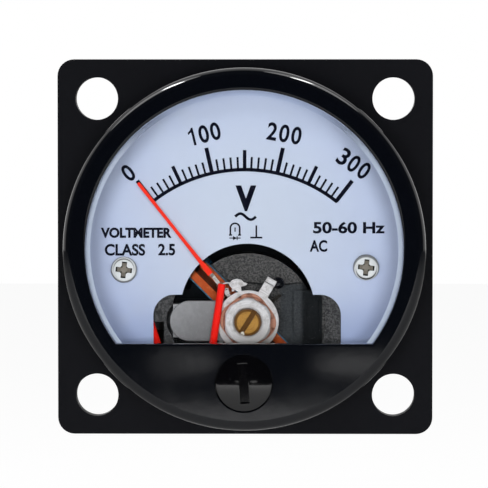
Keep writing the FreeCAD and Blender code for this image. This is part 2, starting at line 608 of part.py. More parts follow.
def staff(sign):
    """A steel pivot staff with its bush, on the front or the rear side of the coil."""
    x, z = PIVOT_X, PIVOT_Z
    base = COIL_FRONT - COIL_T + 0.06 if sign < 0 else COIL_REAR + COIL_T - 0.06
    tip = BRIDGE_Y - 0.4 if sign < 0 else REAR_BRIDGE_Y + 0.5
    seat = base + sign * (1.48 if sign < 0 else 1.25)
    profile = [(0, base), (0.95, base), (0.95, base + sign * 0.5), (0.6, base + sign * 0.55),
               (0.6, seat), (STAFF_R, seat + sign * 0.05), (STAFF_R, tip - sign * 0.35),
               (0.06, tip), (0, tip)]
    return turned(profile, x, z)


def pointer_arm():
    """The thin metal cross on the front staff: the pointer's arm and the balance arms."""
    y0, y1 = ARM_Y, ARM_Y + ARM_T
    x, z = PIVOT_X, PIVOT_Z
    hub = cyl(1.0, y0, y1, x, z)
    arm = box(x - ARM_W / 2, x + ARM_W / 2, y0, y1, z, z + 6.7)
    top = POINTER_Y + POINTER_T
    slope = Part.Face(Part.makePolygon([
        V(x - ARM_W / 2, y0, z + 6.7), V(x - ARM_W / 2, y1, z + 6.7), V(x - ARM_W / 2, y1, z + 6.85),
        V(x - ARM_W / 2, top + ARM_T, z + 7.5), V(x - ARM_W / 2, top + ARM_T, z + 8.6),
        V(x - ARM_W / 2, top, z + 8.6), V(x - ARM_W / 2, top, z + 7.4), V(x - ARM_W / 2, y0, z + 6.7)]))
    slope = slope.extrude(V(ARM_W, 0, 0))
    tail = box(x - 0.2, x + 0.2, y0, y1, z - 6.5, z)
    sides = [box(x - 5.0, x + 5.0, y0, y1, z - 0.18, z + 0.18)]
    cross = hub.fuse([arm, slope, tail] + sides)
    cross = cross.cut(cyl(0.6, y0 - 1, y1 + 1, x, z))
    return at_axis(cross.removeSplitter(), POINTER_AT)


def pointer():
    """The painted pointer blade: broad at the root, knife-thin at the tip."""
    x, z = PIVOT_X, PIVOT_Z
    outline = [(x - 0.35, z + POINTER_ROOT), (x + 0.35, z + POINTER_ROOT), (x + 0.24, z + 9.2),
               (x + 0.19, z + 13.0), (x + 0.2, z + POINTER_TIP - 0.1), (x + 0.08, z + POINTER_TIP),
               (x - 0.08, z + POINTER_TIP), (x - 0.2, z + POINTER_TIP - 0.1), (x - 0.19, z + 13.0),
               (x - 0.24, z + 9.2)]
    blade = prism(outline, POINTER_Y, POINTER_Y + POINTER_T)
    return at_axis(blade, POINTER_AT)


def balance_weight(angle, r, length, size):
    """A wire-wound balance weight, closed on its arm."""
    x, z = PIVOT_X, PIVOT_Z
    y = ARM_Y + ARM_T / 2
    coil = Part.makeCylinder(size, length, V(x, y, z + r), V(0, 0, 1))
    grooves = [Part.makeTorus(size + 0.06, 0.1, V(x, y, z + r + 0.15 + 0.3 * i), V(0, 0, 1))
               for i in range(int(length / 0.3))]
    core = box(x - 0.225, x + 0.225, ARM_Y, ARM_Y + ARM_T, z + r - 1, z + r + length + 1)
    return at_axis(coil.cut(grooves + [core]), POINTER_AT + angle)


def spiral(r0, r1, turns, start, thick, y0, y1, turn):
    """A flat spiral strip. turn is +1 or -1 for its hand."""
    n = int(turns * 24)
    inner, outer = [], []
    for i in range(n + 1):
        t = i / n
        a = math.radians(start + turn * 360 * turns * t)
        r = r0 + (r1 - r0) * t
        for side, out in ((-1, inner), (1, outer)):
            rr = r + side * thick / 2
            out.append(V(PIVOT_X + rr * math.sin(a), y0, PIVOT_Z + rr * math.cos(a)))
    curves = []
    for points in (inner, outer):
        c = Part.BSplineCurve()
        c.interpolate(points)
        curves.append(c.toShape())
    edges = [curves[0], Part.makeLine(inner[-1], outer[-1]), curves[1], Part.makeLine(outer[0], inner[0])]
    wire = Part.Wire(Part.__sortEdges__(edges))
    return Part.Face(wire).extrude(V(0, y1 - y0, 0))


def front_hairspring():
    """The front hairspring, from the front staff's bush to the ear of the zero lever."""
    y0, y1 = BRIDGE_Y + 0.85, BRIDGE_Y + 1.2
    collet = ring(0.98, 0.6, y0, y1, PIVOT_X, PIVOT_Z)
    strip = spiral(0.98, 4.05, 4.0, -26, 0.09, y0 + 0.03, y1 - 0.03, 1)
    return collet.fuse(strip)


def rear_hairspring():
    """The rear hairspring, from the rear staff's bush to the tag on the rear bridge."""
    y0, y1 = REAR_BRIDGE_Y - 0.75, REAR_BRIDGE_Y - 0.4
    collet = ring(0.98, 0.6, y0, y1, PIVOT_X, PIVOT_Z)
    strip = spiral(0.98, 4.05, 4.0, 60, 0.09, y0 + 0.03, y1 - 0.03, -1)
    return collet.fuse(strip)


def spring_tag():
    """The soldering tag on the rear bridge that holds the rear hairspring's outer end."""
    x, z = polar(60, 4.05)
    foot = box(x - 0.3, x + 0.3, REAR_BRIDGE_Y - 0.9, REAR_BRIDGE_Y, z + 0.05, z + 0.3)
    top = box(x - 0.3, x + 0.3, REAR_BRIDGE_Y - 0.25, REAR_BRIDGE_Y, z - 0.6, z + 0.3)
    return foot.fuse(top).removeSplitter()


def zero_adjuster():
    """The screwdriver-slotted zero adjuster with its eccentric pin."""
    rear = BOSS_REAR + 0.4
    head = turned([(0, ADJ_FACE + ADJ_HEAD_T), (ADJ_HEAD_R, ADJ_FACE + ADJ_HEAD_T), (ADJ_HEAD_R, ADJ_FACE + 0.12),
                   (ADJ_HEAD_R - 0.12, ADJ_FACE), (0, ADJ_FACE)], ADJ_X, ADJ_Z)
    slot = box(ADJ_X - 0.55, ADJ_X + 0.55, ADJ_FACE - 1, ADJ_FACE + 0.7, ADJ_Z - 2.3, ADJ_Z + 2.3)
    head = head.cut(at_axis(slot, -3.75, ADJ_X, ADJ_Z))
    shaft = cyl(ADJ_SHAFT_R, ADJ_FACE + ADJ_HEAD_T, rear + 0.9, ADJ_X, ADJ_Z)
    groove = ring(ADJ_SHAFT_R + 1, 1.1, BOSS_REAR, BOSS_REAR + 0.4, ADJ_X, ADJ_Z)
    pin = cyl(PIN_R, rear + 0.9, BRIDGE_Y + 0.4, PIN_X, PIN_Z)
    return head.fuse(shaft).cut(groove).fuse(pin).removeSplitter()


def adjuster_clip():
    """The spring clip that keeps the adjuster in the mask."""
    clip = ring(2.5, 1.1, BOSS_REAR, BOSS_REAR + 0.4, ADJ_X, ADJ_Z)
    mouth = box(ADJ_X - 0.85, ADJ_X + 0.85, BOSS_REAR - 1, BOSS_REAR + 2, ADJ_Z, ADJ_Z + 4)
    return clip.cut(at_axis(mouth, 20, ADJ_X, ADJ_Z))


def terminal_stud(side):
    """A threaded terminal stud with its inner head in the case and a lead end turned down to the thread's root."""
    x = side * STUD_X
    head = hexagon(6.5, STUD_HEAD_Y, FLOOR_Y, x, 0)
    lead = STUD_END - STUD_LEAD
    shank = turned([(0, STUD_HEAD_Y + 1), (STUD_R, STUD_HEAD_Y + 1), (STUD_R, lead), (STUD_LEAD_R, lead),
                    (STUD_LEAD_R, STUD_END - 0.5), (STUD_LEAD_R - 0.5, STUD_END), (0, STUD_END)], x, 0)
    return head.fuse(shank)


def terminal_washer(side, y0, r, t):
    """A plain washer on a stud."""
    return ring(r, STUD_R + 0.15, y0, y0 + t, side * STUD_X, 0)


def terminal_nut(side, y0, turn):
    """A chamfered hexagon nut on a stud."""
    x = side * STUD_X
    tip = TERM_AF / math.sqrt(3)
    nut = hexagon(TERM_AF, y0, y0 + 2.6, x, 0, turn)
    cone = turned([(0, y0), (tip - 0.45, y0), (tip + 0.05, y0 + 0.35), (tip + 0.05, y0 + 2.25),
                   (tip - 0.45, y0 + 2.6), (0, y0 + 2.6)], x, 0)
    return nut.common(cone).cut(cyl(STUD_R, y0 - 1, y0 + 4, x, 0))


def spring_washer(side, y0):
    """A split spring washer, drawn flat, with its slanted cut."""
    x = side * STUD_X
    body = ring(3.2, STUD_R + 0.1, y0, y0 + 0.8, x, 0)
    cut = box(x - 0.25, x + 0.25, y0 - 1, y0 + 2, 1.5, 4.0)
    cut.rotate(V(x, y0 + 0.4, 2.6), V(0, 0, 1), 25)
    return body.cut(cut)


def circuit_board():
    """The round circuit board behind the movement, resting on the stud heads."""
    board = cyl(BOARD_R, BOARD_Y, BOARD_Y + BOARD_T)
    y0, y1 = BOARD_Y - 1, BOARD_Y + BOARD_T + 1
    board = board.cut([cyl(2.6, y0, y1, s * FRAME_SCREW_X, FRAME_SCREW_Z) for s in (-1, 1)])
    side, top = BOARD_R - 5.2, BOARD_R - 7.5
    board = board.cut([box(s * side - 1.3, s * side + 1.3, y0, y1, top, BOARD_R + 2) for s in (-1, 1)])
    ears = [cyl(6.4, y0, y1, s * (BOARD_R - 2.2), BOARD_R - 5.0) for s in (-1, 1)]
    return board.cut(ears).removeSplitter()


def rectifier():
    """The moulded bridge rectifier with its four legs on the board."""
    middle = BOARD_R - 10.7
    body = box(-3.2, 3.2, BOARD_Y - 3.1, BOARD_Y - 0.4, middle - 2.3, middle + 2.3)
    long = [e for e in body.Edges if e.BoundBox.YLength < 0.01 and abs(e.BoundBox.YMin - (BOARD_Y - 3.1)) < 0.01]
    body = body.makeChamfer(0.4, long)
    legs = []
    for sx in (-1, 1):
        for sz in (-1, 1):
            x, z = sx * 2.3, middle + sz * 2.7
            z0, z1 = sorted((z, z - sz * 0.9))
            legs.append(box(x - 0.25, x + 0.25, BOARD_Y - 1.8, BOARD_Y - 1.5, z0, z1))
            legs.append(box(x - 0.25, x + 0.25, BOARD_Y - 1.8, BOARD_Y, min(z, z - sz * 0.3), max(z, z - sz * 0.3)))
    return body.fuse(legs).removeSplitter()


def series_resistor():
    """The axial series resistor with bent leads on the board."""
    z, y = BOARD_R - 4.8, BOARD_Y - 1.6
    half = 2.9
    body = Part.makeCylinder(1.05, 2 * half, V(-half, y, z), V(1, 0, 0))
    ends = [Part.makeCylinder(1.2, 1.3, V(x, y, z), V(1, 0, 0)) for x in (-half, half - 1.3)]
    body = body.fuse(ends)
    rim = [e for e in body.Edges if abs(abs(e.BoundBox.XMin) - half) < 0.01 and e.BoundBox.XLength < 0.01]
    body = body.makeFillet(0.4, rim)
    for s in (-1, 1):
        lead = wire_path([(s * (half - 0.4), y, z), (s * 4.9, y, z), (s * 4.9, BOARD_Y, z)], 0.3, 0.8)
        body = body.fuse(lead)
    return body


def wire_path(points, r, bend=None):
    """A round wire of straight runs joined by tangent arcs. Prints the bend radii and the length."""
    pts = [V(*p) for p in points]
    edges, here, total = [], pts[0], 0.0
    radii = []
    for i in range(1, len(pts) - 1):
        a, b, c = pts[i - 1], pts[i], pts[i + 1]
        u, w = (a.sub(b)), (c.sub(b))
        lu, lw = u.Length, w.Length
        u.normalize()
        w.normalize()
        angle = math.acos(max(-1, min(1, u.dot(w))))
        half_turn = (math.pi - angle) / 2
        radius = 0.45 * min(lu, lw) / math.tan(half_turn)
        if bend:
            radius = min(radius, bend)
        trim = radius * math.tan(half_turn)
        p, q = b.add(V(u).multiply(trim)), b.add(V(w).multiply(trim))
        middle = V(u).add(w)
        middle.normalize()
        centre = b.add(V(middle).multiply(radius / math.sin(angle / 2)))
        mid = centre.sub(V(middle).multiply(radius))
        edges.append(Part.makeLine(here, p))
        edges.append(Part.Arc(p, mid, q).toShape())
        total += p.sub(here).Length + radius * 2 * half_turn
        radii.append(round(radius, 2))
        here = q
    edges.append(Part.makeLine(here, pts[-1]))
    total += pts[-1].sub(here).Length
    start = pts[1].sub(pts[0])
    circle = Part.Wire(Part.makeCircle(r, pts[0], start))
    solid = Part.Wire(edges).makePipeShell([circle], True, True)
    print("wire r %.2f bends %s length %.2f section x length %.3f volume %.3f" % (
        r, radii, total, math.pi * r * r * total, solid.Volume))
    return solid


def coil_lead():
    """The red lead from the ear of the zero lever, down behind the mask and back to the board."""
    return wire_path([(-2.75, -4.5, -4.35), (-4.1, -4.75, -13.5), (-8.9, -4.1, -15.6), (-10.25, -1.85, -12.6),
                      (-11.55, -1.85, -8.7), (-12.5, 3.2, -4.8), (-12.5, BOARD_Y, -4.6)], LEAD_R)


def return_lead():
    """The second lead, from the rear spring's tag to the board."""
    x, z = polar(60, 4.0)
    return wire_path([(x, REAR_BRIDGE_Y + 0.8, z), (x, REAR_BRIDGE_Y + 2.5, z), (8.6, BOARD_Y - 2.2, 1.6),
                      (8.6, BOARD_Y, 1.6)], LEAD_R)


def build():
    """Make every node."""
    save("rear_case", rear_case())
    save("front_bezel", front_bezel())
    save("window", window())
    save("dial_plate", dial_plate())
    save("dial_scale", dial_scale())
    for side, name in ((-1, "left"), (1, "right")):
        save("dial_screw_" + name, dial_screw(side))
        save("frame_screw_" + name, frame_screw(side))
        save("bridge_screw_" + name, bridge_screw(side))
    save("movement_frame", movement_frame())
    save("yoke_ring", yoke_ring())
    save("core_carrier", core_carrier())
    save("core_magnet", core_magnet())
    save("front_bridge", front_bridge())
    save("rear_bridge", rear_bridge())
    save("front_jewel_screw", jewel_screw(SCREW_FACE, JEWEL_SEAT, 1))
    save("rear_jewel_screw", jewel_screw(REAR_SCREW_END, REAR_BRIDGE_Y - 0.2, -1))
    save("front_jewel", jewel(JEWEL_SEAT, 1))
    save("rear_jewel", jewel(REAR_BRIDGE_Y - 0.2, -1))
    nut_face = BRIDGE_Y - LEVER_T - WASHER_T
    save("front_lock_nut", lock_nut(nut_face - NUT_T, nut_face, -1))
    save("rear_lock_nut", lock_nut(REAR_BRIDGE_Y + 0.8, REAR_BRIDGE_Y + 2.4, 1))
    save("friction_washer", friction_washer())
    save("zero_lever", zero_lever())
    save("stop_bead", stop_bead())
    save("coil_former", coil_former())
    save("coil_winding", coil_winding())
    save("front_staff", staff(-1))
    save("rear_staff", staff(1))
    save("pointer_arm", pointer_arm())
    save("pointer", pointer())
    save("balance_weight_front", balance_weight(0, 4.45, 1.2, 0.42))
    save("balance_weight_tail", balance_weight(180, 4.3, 2.1, 0.62))
    save("front_hairspring", front_hairspring())
    save("rear_hairspring", rear_hairspring())
    save("spring_tag", spring_tag())
    save("zero_adjuster", zero_adjuster())
    save("adjuster_clip", adjuster_clip())
    for side, name in ((-1, "left"), (1, "right")):
        save("terminal_stud_" + name, terminal_stud(side))
        save("terminal_washer_" + name, terminal_washer(side, BOSS_Y, 4.0, 0.7))
        save("clamp_nut_" + name, terminal_nut(side, BOSS_Y + 0.7, 8 * side))
        save("spring_washer_" + name, spring_washer(side, BOSS_Y + 3.3))
        save("terminal_nut_" + name, terminal_nut(side, BOSS_Y + 4.1, 21 * side))
    save("circuit_board", circuit_board())
    save("rectifier", rectifier())
    save("series_resistor", series_resistor())
    save("coil_lead", coil_lead())
    save("return_lead", return_lead())


build()
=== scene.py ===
"""The looks of a small square-flange analog panel meter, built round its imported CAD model.

Lengths in the dataclasses are millimetres in the row frame: +X right, +Z up, the face looks towards -Y.
Angles of the movement and the scale are degrees, clockwise from straight up as seen from the front.
"""
from __future__ import annotations

import logging
import math
from collections.abc import Callable
from dataclasses import dataclass, field
from enum import Enum

import bpy
from mathutils import Matrix, Vector

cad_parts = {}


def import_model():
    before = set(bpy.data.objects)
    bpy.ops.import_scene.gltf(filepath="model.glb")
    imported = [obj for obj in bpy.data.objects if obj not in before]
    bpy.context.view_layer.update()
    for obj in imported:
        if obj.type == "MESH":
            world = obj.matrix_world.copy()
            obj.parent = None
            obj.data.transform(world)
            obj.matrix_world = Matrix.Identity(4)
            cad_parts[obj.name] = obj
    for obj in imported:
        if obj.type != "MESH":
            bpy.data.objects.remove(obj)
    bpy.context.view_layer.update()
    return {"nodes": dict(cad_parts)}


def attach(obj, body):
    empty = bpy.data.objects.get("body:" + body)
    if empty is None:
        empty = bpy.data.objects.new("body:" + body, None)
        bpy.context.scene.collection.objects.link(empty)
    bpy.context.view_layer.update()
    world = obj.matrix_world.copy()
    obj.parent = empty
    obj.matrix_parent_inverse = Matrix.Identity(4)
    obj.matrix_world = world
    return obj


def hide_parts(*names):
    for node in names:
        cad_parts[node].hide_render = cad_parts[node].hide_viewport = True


LOG = logging.getLogger("meter")
MM = 0.001
Point = tuple[float, float]
Place = tuple[float, float, float]
Colour = tuple[float, float, float]


class Hand(Enum):
    """The left or the right one of a pair."""

    LEFT = -1
    RIGHT = 1

    @property
    def word(self) -> str:
        """The side's name as the CAD nodes spell it."""
        return self.name.lower()


class Solid(Enum):
    """What a Boolean modifier does with its second shape."""

    CUT = "DIFFERENCE"
    FUSE = "UNION"
    KEEP = "INTERSECT"


class Lights(Enum):
    """What a lamp acts on."""

    ALL = "all"
    MATT = "matt"
    GLOSS = "gloss"


# ---- shader expressions ----


class Value:
    """One number in a node tree, with the arithmetic that adds Math nodes."""

    def __init__(self, web: "Web", source: object) -> None:
        """Wrap a socket or a plain number.

        Args:
            web: The tree that new nodes go to.
            source: An output socket or a float.
        """
        self.web = web
        self.source = source

    def _math(self, operation: str, *others: object, clamp: bool = False) -> "Value":
        """Add a Math node on this value and others.

        Args:
            operation: The Math node's operation.
            others: Values or numbers for its further sockets.
            clamp: Whether the result is kept between 0 and 1.

        Returns:
            The node's result.
        """
        inputs = {i: v for i, v in enumerate((self, *others))}
        node = self.web.node("ShaderNodeMath", {"operation": operation, "use_clamp": clamp}, inputs)
        return Value(self.web, node.outputs[0])

    def __add__(self, other: object) -> "Value":
        """self + other."""
        return self._math("ADD", other)

    __radd__ = __add__

    def __mul__(self, other: object) -> "Value":
        """self * other."""
        return self._math("MULTIPLY", other)

    __rmul__ = __mul__

    def __sub__(self, other: object) -> "Value":
        """self - other."""
        return self._math("SUBTRACT", other)

    def __rsub__(self, other: object) -> "Value":
        """other - self."""
        return Value(self.web, other)._math("SUBTRACT", self)

    def __truediv__(self, other: object) -> "Value":
        """self / other."""
        return self._math("DIVIDE", other)

    def __pow__(self, other: object) -> "Value":
        """self ** other."""
        return self._math("POWER", other)

    def sine(self) -> "Value":
        """The sine of the value in radians."""
        return self._math("SINE")

    def size(self) -> "Value":
        """The value without its sign."""
        return self._math("ABSOLUTE")

    def at_least(self, other: object) -> "Value":
        """The larger of two values."""
        return self._math("MAXIMUM", other)

    def ramp(self, low: float, high: float) -> "Value":
        """A smooth step from 0 at low to 1 at high.

        Args:
            low: Where the step starts.
            high: Where it ends; it may be below low.

        Returns:
            The stepped value.
        """
        t = ((self - low) / (high - low))._math("ADD", 0.0, clamp=True)
        return t * t * (3.0 - 2.0 * t)


class Web:
    """A node tree under construction."""

    def __init__(self, tree: bpy.types.NodeTree) -> None:
        """Start with an empty tree."""
        self.tree = tree
        tree.nodes.clear()

    def node(self, kind: str, settings: dict | None = None, inputs: dict | None = None) -> bpy.types.Node:
        """Add a node, set it up and link it.

        Args:
            kind: The node's type.
            settings: Its own settings, set first.
            inputs: Values or links by socket name or number.

        Returns:
            The node.
        """
        node = self.tree.nodes.new(kind)
        for name, value in (settings or {}).items():
            setattr(node, name, value)
        for key, value in (inputs or {}).items():
            source = value.source if isinstance(value, Value) else value
            socket = node.inputs[key]
            if isinstance(source, bpy.types.NodeSocket):
                self.tree.links.new(source, socket)
            elif source is not None:
                socket.default_value = source
        return node

    def place(self) -> object:
        """The Object coordinates."""
        return self.node("ShaderNodeTexCoord").outputs["Object"]

    def moved(self, shift: Place, turn: float = 0.0) -> object:
        """Object coordinates about another centre, turned about Y.

        Args:
            shift: The centre in millimetres.
            turn: The turn about Y in degrees.

        Returns:
            A vector socket.
        """
        centre = tuple(-v * MM for v in shift)
        moved = self.node("ShaderNodeMapping", {"vector_type": "POINT"},
                          {"Vector": self.place(), "Location": centre}).outputs[0]
        if not turn:
            return moved
        return self.node("ShaderNodeMapping", {"vector_type": "POINT"},
                         {"Vector": moved, "Rotation": (0.0, math.radians(-turn), 0.0)}).outputs[0]

    def axes(self, vector: object) -> tuple[Value, Value, Value]:
        """The three parts of a vector, in millimetres.

        Args:
            vector: A vector socket in metres.

        Returns:
            X, Y and Z as values.
        """
        outs = self.node("ShaderNodeSeparateXYZ", None, {0: vector}).outputs
        return tuple(Value(self, o) * (1.0 / MM) for o in outs)

    def noise(self, grain: float, detail: float = 2.0, rough: float = 0.5, vector: object = None) -> Value:
        """Noise whose cells are about one grain wide.

        Args:
            grain: The cell's width in millimetres.
            detail: The noise's octaves.
            rough: How much the fine octaves weigh.
            vector: Other coordinates, if any.

        Returns:
            The noise from 0 to 1.
        """
        node = self.node("ShaderNodeTexNoise", {"noise_dimensions": "3D"},
                         {"Vector": vector or self.place(), "Scale": 1.0 / (grain * MM), "Detail": detail,
                          "Roughness": rough})
        return Value(self, node.outputs["Fac"])

    def cells(self, grain: float) -> Value:
        """The distance to scattered points, one in each grain.

        Args:
            grain: The spacing in millimetres.

        Returns:
            The distance.
        """
        node = self.node("ShaderNodeTexVoronoi", {"feature": "F1"},
                         {"Vector": self.place(), "Scale": 1.0 / (grain * MM)})
        return Value(self, node.outputs["Distance"])

    def tint(self, amount: Value | float, first: object, second: object) -> object:
        """Mix two colours.

        Args:
            amount: How much of the second.
            first: A colour or a colour socket.
            second: A colour or a colour socket.

        Returns:
            A colour socket.
        """
        def full(colour: object) -> object:
            """Give a plain colour its alpha."""
            return (*colour, 1.0) if isinstance(colour, tuple) and len(colour) == 3 else colour
        node = self.node("ShaderNodeMix", {"data_type": "RGBA", "clamp_factor": True},
                         {0: amount, 6: full(first), 7: full(second)})
        return node.outputs[2]

    def bump(self, height: Value, depth: float) -> object:
        """A normal from a height.

        Args:
            height: The height from 0 to 1.
            depth: What 1 means, in millimetres.

        Returns:
            A normal socket.
        """
        return self.node("ShaderNodeBump", None,
                         {"Strength": 1.0, "Distance": depth * MM, "Height": height}).outputs[0]


# ---- finishes ----


@dataclass(frozen=True)
class Finish:
    """A plain moulded or painted finish, and the base of the others.

    Colours are linear RGB.
    """

    name: str
    colour: Colour
    rough: float = 0.5
    metal: float = 0.0
    specular: float = 0.5
    grain: float = 0.3
    depth: float = 0.004
    vary: float = 0.12

    def tone(self, web: Web) -> object:
        """The colour: slow, slight changes over the surface.

        Args:
            web: The material's tree.

        Returns:
            A colour socket.
        """
        light = tuple(min(1.0, c * (1 + self.vary)) for c in self.colour)
        dark = tuple(c * (1 - self.vary) for c in self.colour)
        return web.tint(web.noise(4.0, 3.0), dark, light)

    def gloss(self, web: Web) -> Value:
        """The roughness, a little uneven."""
        return web.noise(1.7, 4.0, 0.6) * (self.rough * 0.4) + self.rough * 0.8

    def relief(self, web: Web) -> object:
        """The fine grain of the surface as a normal."""
        return web.bump(web.noise(self.grain, 3.0), self.depth)

    def shader(self, web: Web) -> object:
        """Put the shader together.

        Args:
            web: The material's tree.

        Returns:
            The shader's socket.
        """
        node = web.node("ShaderNodeBsdfPrincipled", None, {
            "Base Color": self.tone(web), "Roughness": self.gloss(web), "Metallic": self.metal,
            "Specular IOR Level": self.specular, "Normal": self.relief(web)})
        return node.outputs[0]

    def material(self) -> bpy.types.Material:
        """Make the material, once for each name.

        Returns:
            The material.
        """
        title = self.name + "_finish"  # the frame already has a material with the plain name
        found = bpy.data.materials.get(title)
        if found is not None:
            return found
        made = bpy.data.materials.new(title)
        made.use_nodes = True
        web = Web(made.node_tree)
        out = web.node("ShaderNodeOutputMaterial")
        made.node_tree.links.new(self.shader(web), out.inputs["Surface"])
        made.diffuse_color = (*self.colour, 1.0)
        return made


@dataclass(frozen=True)
class GlossMould(Finish):
    """Polished black plastic with faint polishing haze and a few specks of dust."""

    def gloss(self, web: Web) -> Value:
        """The roughness: smooth, with hazier patches."""
        haze = web.noise(6.0, 4.0, 0.65).ramp(0.45, 0.75)
        return haze * 0.03 + self.rough

    def tone(self, web: Web) -> object:
        """Black, with rare pale specks."""
        speck = web.cells(2.2).ramp(0.035, 0.02)
        pale = tuple(c + 0.03 for c in self.colour)
        return web.tint(speck * 0.6, self.colour, pale)


@dataclass(frozen=True)
class SparkMould(Finish):
    """Dull dark plastic with the crinkled face of a spark-eroded mould."""

    def relief(self, web: Web) -> object:
        """Coarse crinkles over fine ones."""
        height = web.noise(0.34, 2.0, 0.7) * 0.7 + web.noise(0.13, 2.0) * 0.3
        return web.bump(height, self.depth)

    def tone(self, web: Web) -> object:
        """Grey that follows the crinkles."""
        light = (self.colour[0] * 2.1, self.colour[1] * 2.0, self.colour[2] * 1.9)
        dark = tuple(c * 0.4 for c in self.colour)
        mark = web.noise(0.24, 2.0, 0.7).ramp(0.36, 0.66)
        return web.tint(mark * 0.85 + web.noise(2.5, 2.0) * 0.15, dark, light)


@dataclass(frozen=True)
class DialPaint(Finish):
    """Matt dial paint, whiter in the middle, with painted shade that makes it darker and cooler towards the rim and
    towards the mask.
    """

    # edge is the colour of the painted shade at the rim, low that of the painted shadow of the mask; foot is where
    # that painted shadow begins and where it is full.
    edge: Colour = (0.44, 0.495, 0.7)
    low: Colour = (0.24, 0.3, 0.5)
    middle: float = 3.0
    reach: float = 19.0
    foot: Point = (-4.0, -12.5)

    def tone(self, web: Web) -> object:
        """White with painted shade: darker and cooler outwards, and the painted shadow of the mask downwards."""
        x, _, z = web.axes(web.place())
        radius = (x * x + (z - self.middle) * (z - self.middle)) ** 0.5
        rim = (radius / self.reach) ** 2.2
        base = web.tint(rim * 0.75, self.colour, self.edge)
        painted_shade = web.tint(z.ramp(*self.foot) * 0.55, base, self.low)
        cloud = tuple(c * 0.94 for c in self.colour)
        return web.tint(web.noise(5.0, 3.0).ramp(0.5, 0.8) * 0.35, painted_shade, cloud)


@dataclass(frozen=True)
class TurnedMetal(Finish):
    """Metal with the fine rings that a lathe or a press leaves about an axis along Y."""

    centre: Point = (0.35, -8.85)
    pitch: float = 0.09
    dark_tone: Colour = (0.2, 0.16, 0.12)
    worn: float = 0.25
    # How much painted shade darkens the metal towards its foot, in the dark tone.
    shade: float = 0.0

    def tone(self, web: Web) -> object:
        """The metal with brushed arcs, stains in its low places, and painted shade that darkens it towards the foot.
        """
        x, _, z = web.axes(web.moved((self.centre[0], 0.0, self.centre[1])))
        radius = (x * x + z * z) ** 0.5
        arcs = web.node("ShaderNodeCombineXYZ", None, {0: radius * MM, 1: x * (0.04 * MM), 2: z * (0.04 * MM)})
        line = web.noise(0.16, 2.0, 0.6, arcs.outputs[0]).ramp(0.45, 0.75)
        stain = web.noise(0.8, 4.0, 0.65).ramp(0.45, 0.7)
        # Painted shade: darker towards the foot, a little to the right.
        foot = (z * 0.9 - x * 0.25).ramp(0.4, -3.6) * self.shade
        soiled = (stain * self.worn).at_least(line * (self.worn * 0.8)).at_least(foot)
        return web.tint(soiled, self.colour, self.dark_tone)

    def relief(self, web: Web) -> object:
        """Rings about the axis, with a few scratches."""
        x, _, z = web.axes(web.moved((self.centre[0], 0.0, self.centre[1])))
        radius = (x * x + z * z) ** 0.5
        rings = (radius * (2 * math.pi / self.pitch)).sine() * 0.5 + 0.5
        return web.bump(rings * 0.8 + web.noise(0.5, 2.0) * 0.2, self.depth)


@dataclass(frozen=True)
class SlottedBrass(TurnedMetal):
    """Turned brass with painted shade on its chamfered rim and in its slot, and a painted highlight where the slot
    runs out.
    """

    # face is the radius where the rim's painted shade begins; slot holds the depths over which painted shade darkens
    # the slot.
    face: float = 1.27
    slot: Point = (-6.33, -6.1)
    # The painted highlight where the slot runs out: its place from the axis and its radius.
    glint: tuple[float, float, float] = (-0.62, -1.4, 0.3)

    def tone(self, web: Web) -> object:
        """Brass with a few stains, painted shade on its rim and in its slot, and the painted highlight."""
        x, _, z = web.axes(web.moved((self.centre[0], 0.0, self.centre[1])))
        rim = ((x * x + z * z) ** 0.5).ramp(self.face, self.face + 0.06)
        painted_shade = web.axes(web.place())[1].ramp(*self.slot)
        base = web.tint((rim * 0.8).at_least(painted_shade * 0.8), super().tone(web), self.dark_tone)
        gx, gz, far = self.glint
        spot = (((x - gx) * (x - gx) + (z - gz) * (z - gz)) ** 0.5).ramp(far, far * 0.5)
        return web.tint(spot, base, (1.0, 0.93, 0.8))


@dataclass(frozen=True)
class RecessedHead(TurnedMetal):
    """A bright screw head, with painted shade on its outer rim and in its cross recess: near black on the recess
    walls, dull brown on its floor.
    """

    # edge is a depth near the top of the recess, where its painted shade starts; cross is the radius within which the
    # recess is shaded; rim is where the rim's painted shade begins and is full.
    edge: float = -3.98
    cross: Point = (1.3, 1.22)
    rim: Point = (1.36, 1.5)
    rim_shade: Colour = (0.12, 0.12, 0.12)
    wall_shade: Colour = (0.02, 0.018, 0.016)

    def tone(self, web: Web) -> object:
        """Bright on the crown, with painted shade on the rim and in the recess below it."""
        x, y, z = web.axes(web.place())
        across = x.size() - self.centre[0]
        radius = (across * across + (z - self.centre[1]) * (z - self.centre[1])) ** 0.5
        near = radius.ramp(*self.cross)
        crown = web.tint(radius.ramp(*self.rim) * 0.8, super().tone(web), self.rim_shade)
        wall = web.tint(y.ramp(self.edge - 0.08, self.edge - 0.02) * near, crown, self.wall_shade)
        return web.tint(y.ramp(self.edge + 0.12, self.edge + 0.2) * near, wall, self.dark_tone)


@dataclass(frozen=True)
class BrushedMetal(Finish):
    """Cast or rolled metal with a fine directional grain along X."""

    dark_tone: Colour = (0.12, 0.12, 0.12)

    def tone(self, web: Web) -> object:
        """Mottled grey."""
        return web.tint(web.noise(0.7, 4.0, 0.7).ramp(0.35, 0.75), self.dark_tone, self.colour)

    def relief(self, web: Web) -> object:
        """Short strokes along X over a pitted skin."""
        x, y, z = web.axes(web.place())
        stretched = web.node("ShaderNodeCombineXYZ", None, {0: x * 0.00022, 1: y * MM, 2: z * MM}).outputs[0]
        height = web.noise(0.1, 2.0, 0.6, stretched) * 0.6 + web.noise(0.3, 3.0) * 0.4
        return web.bump(height, self.depth)


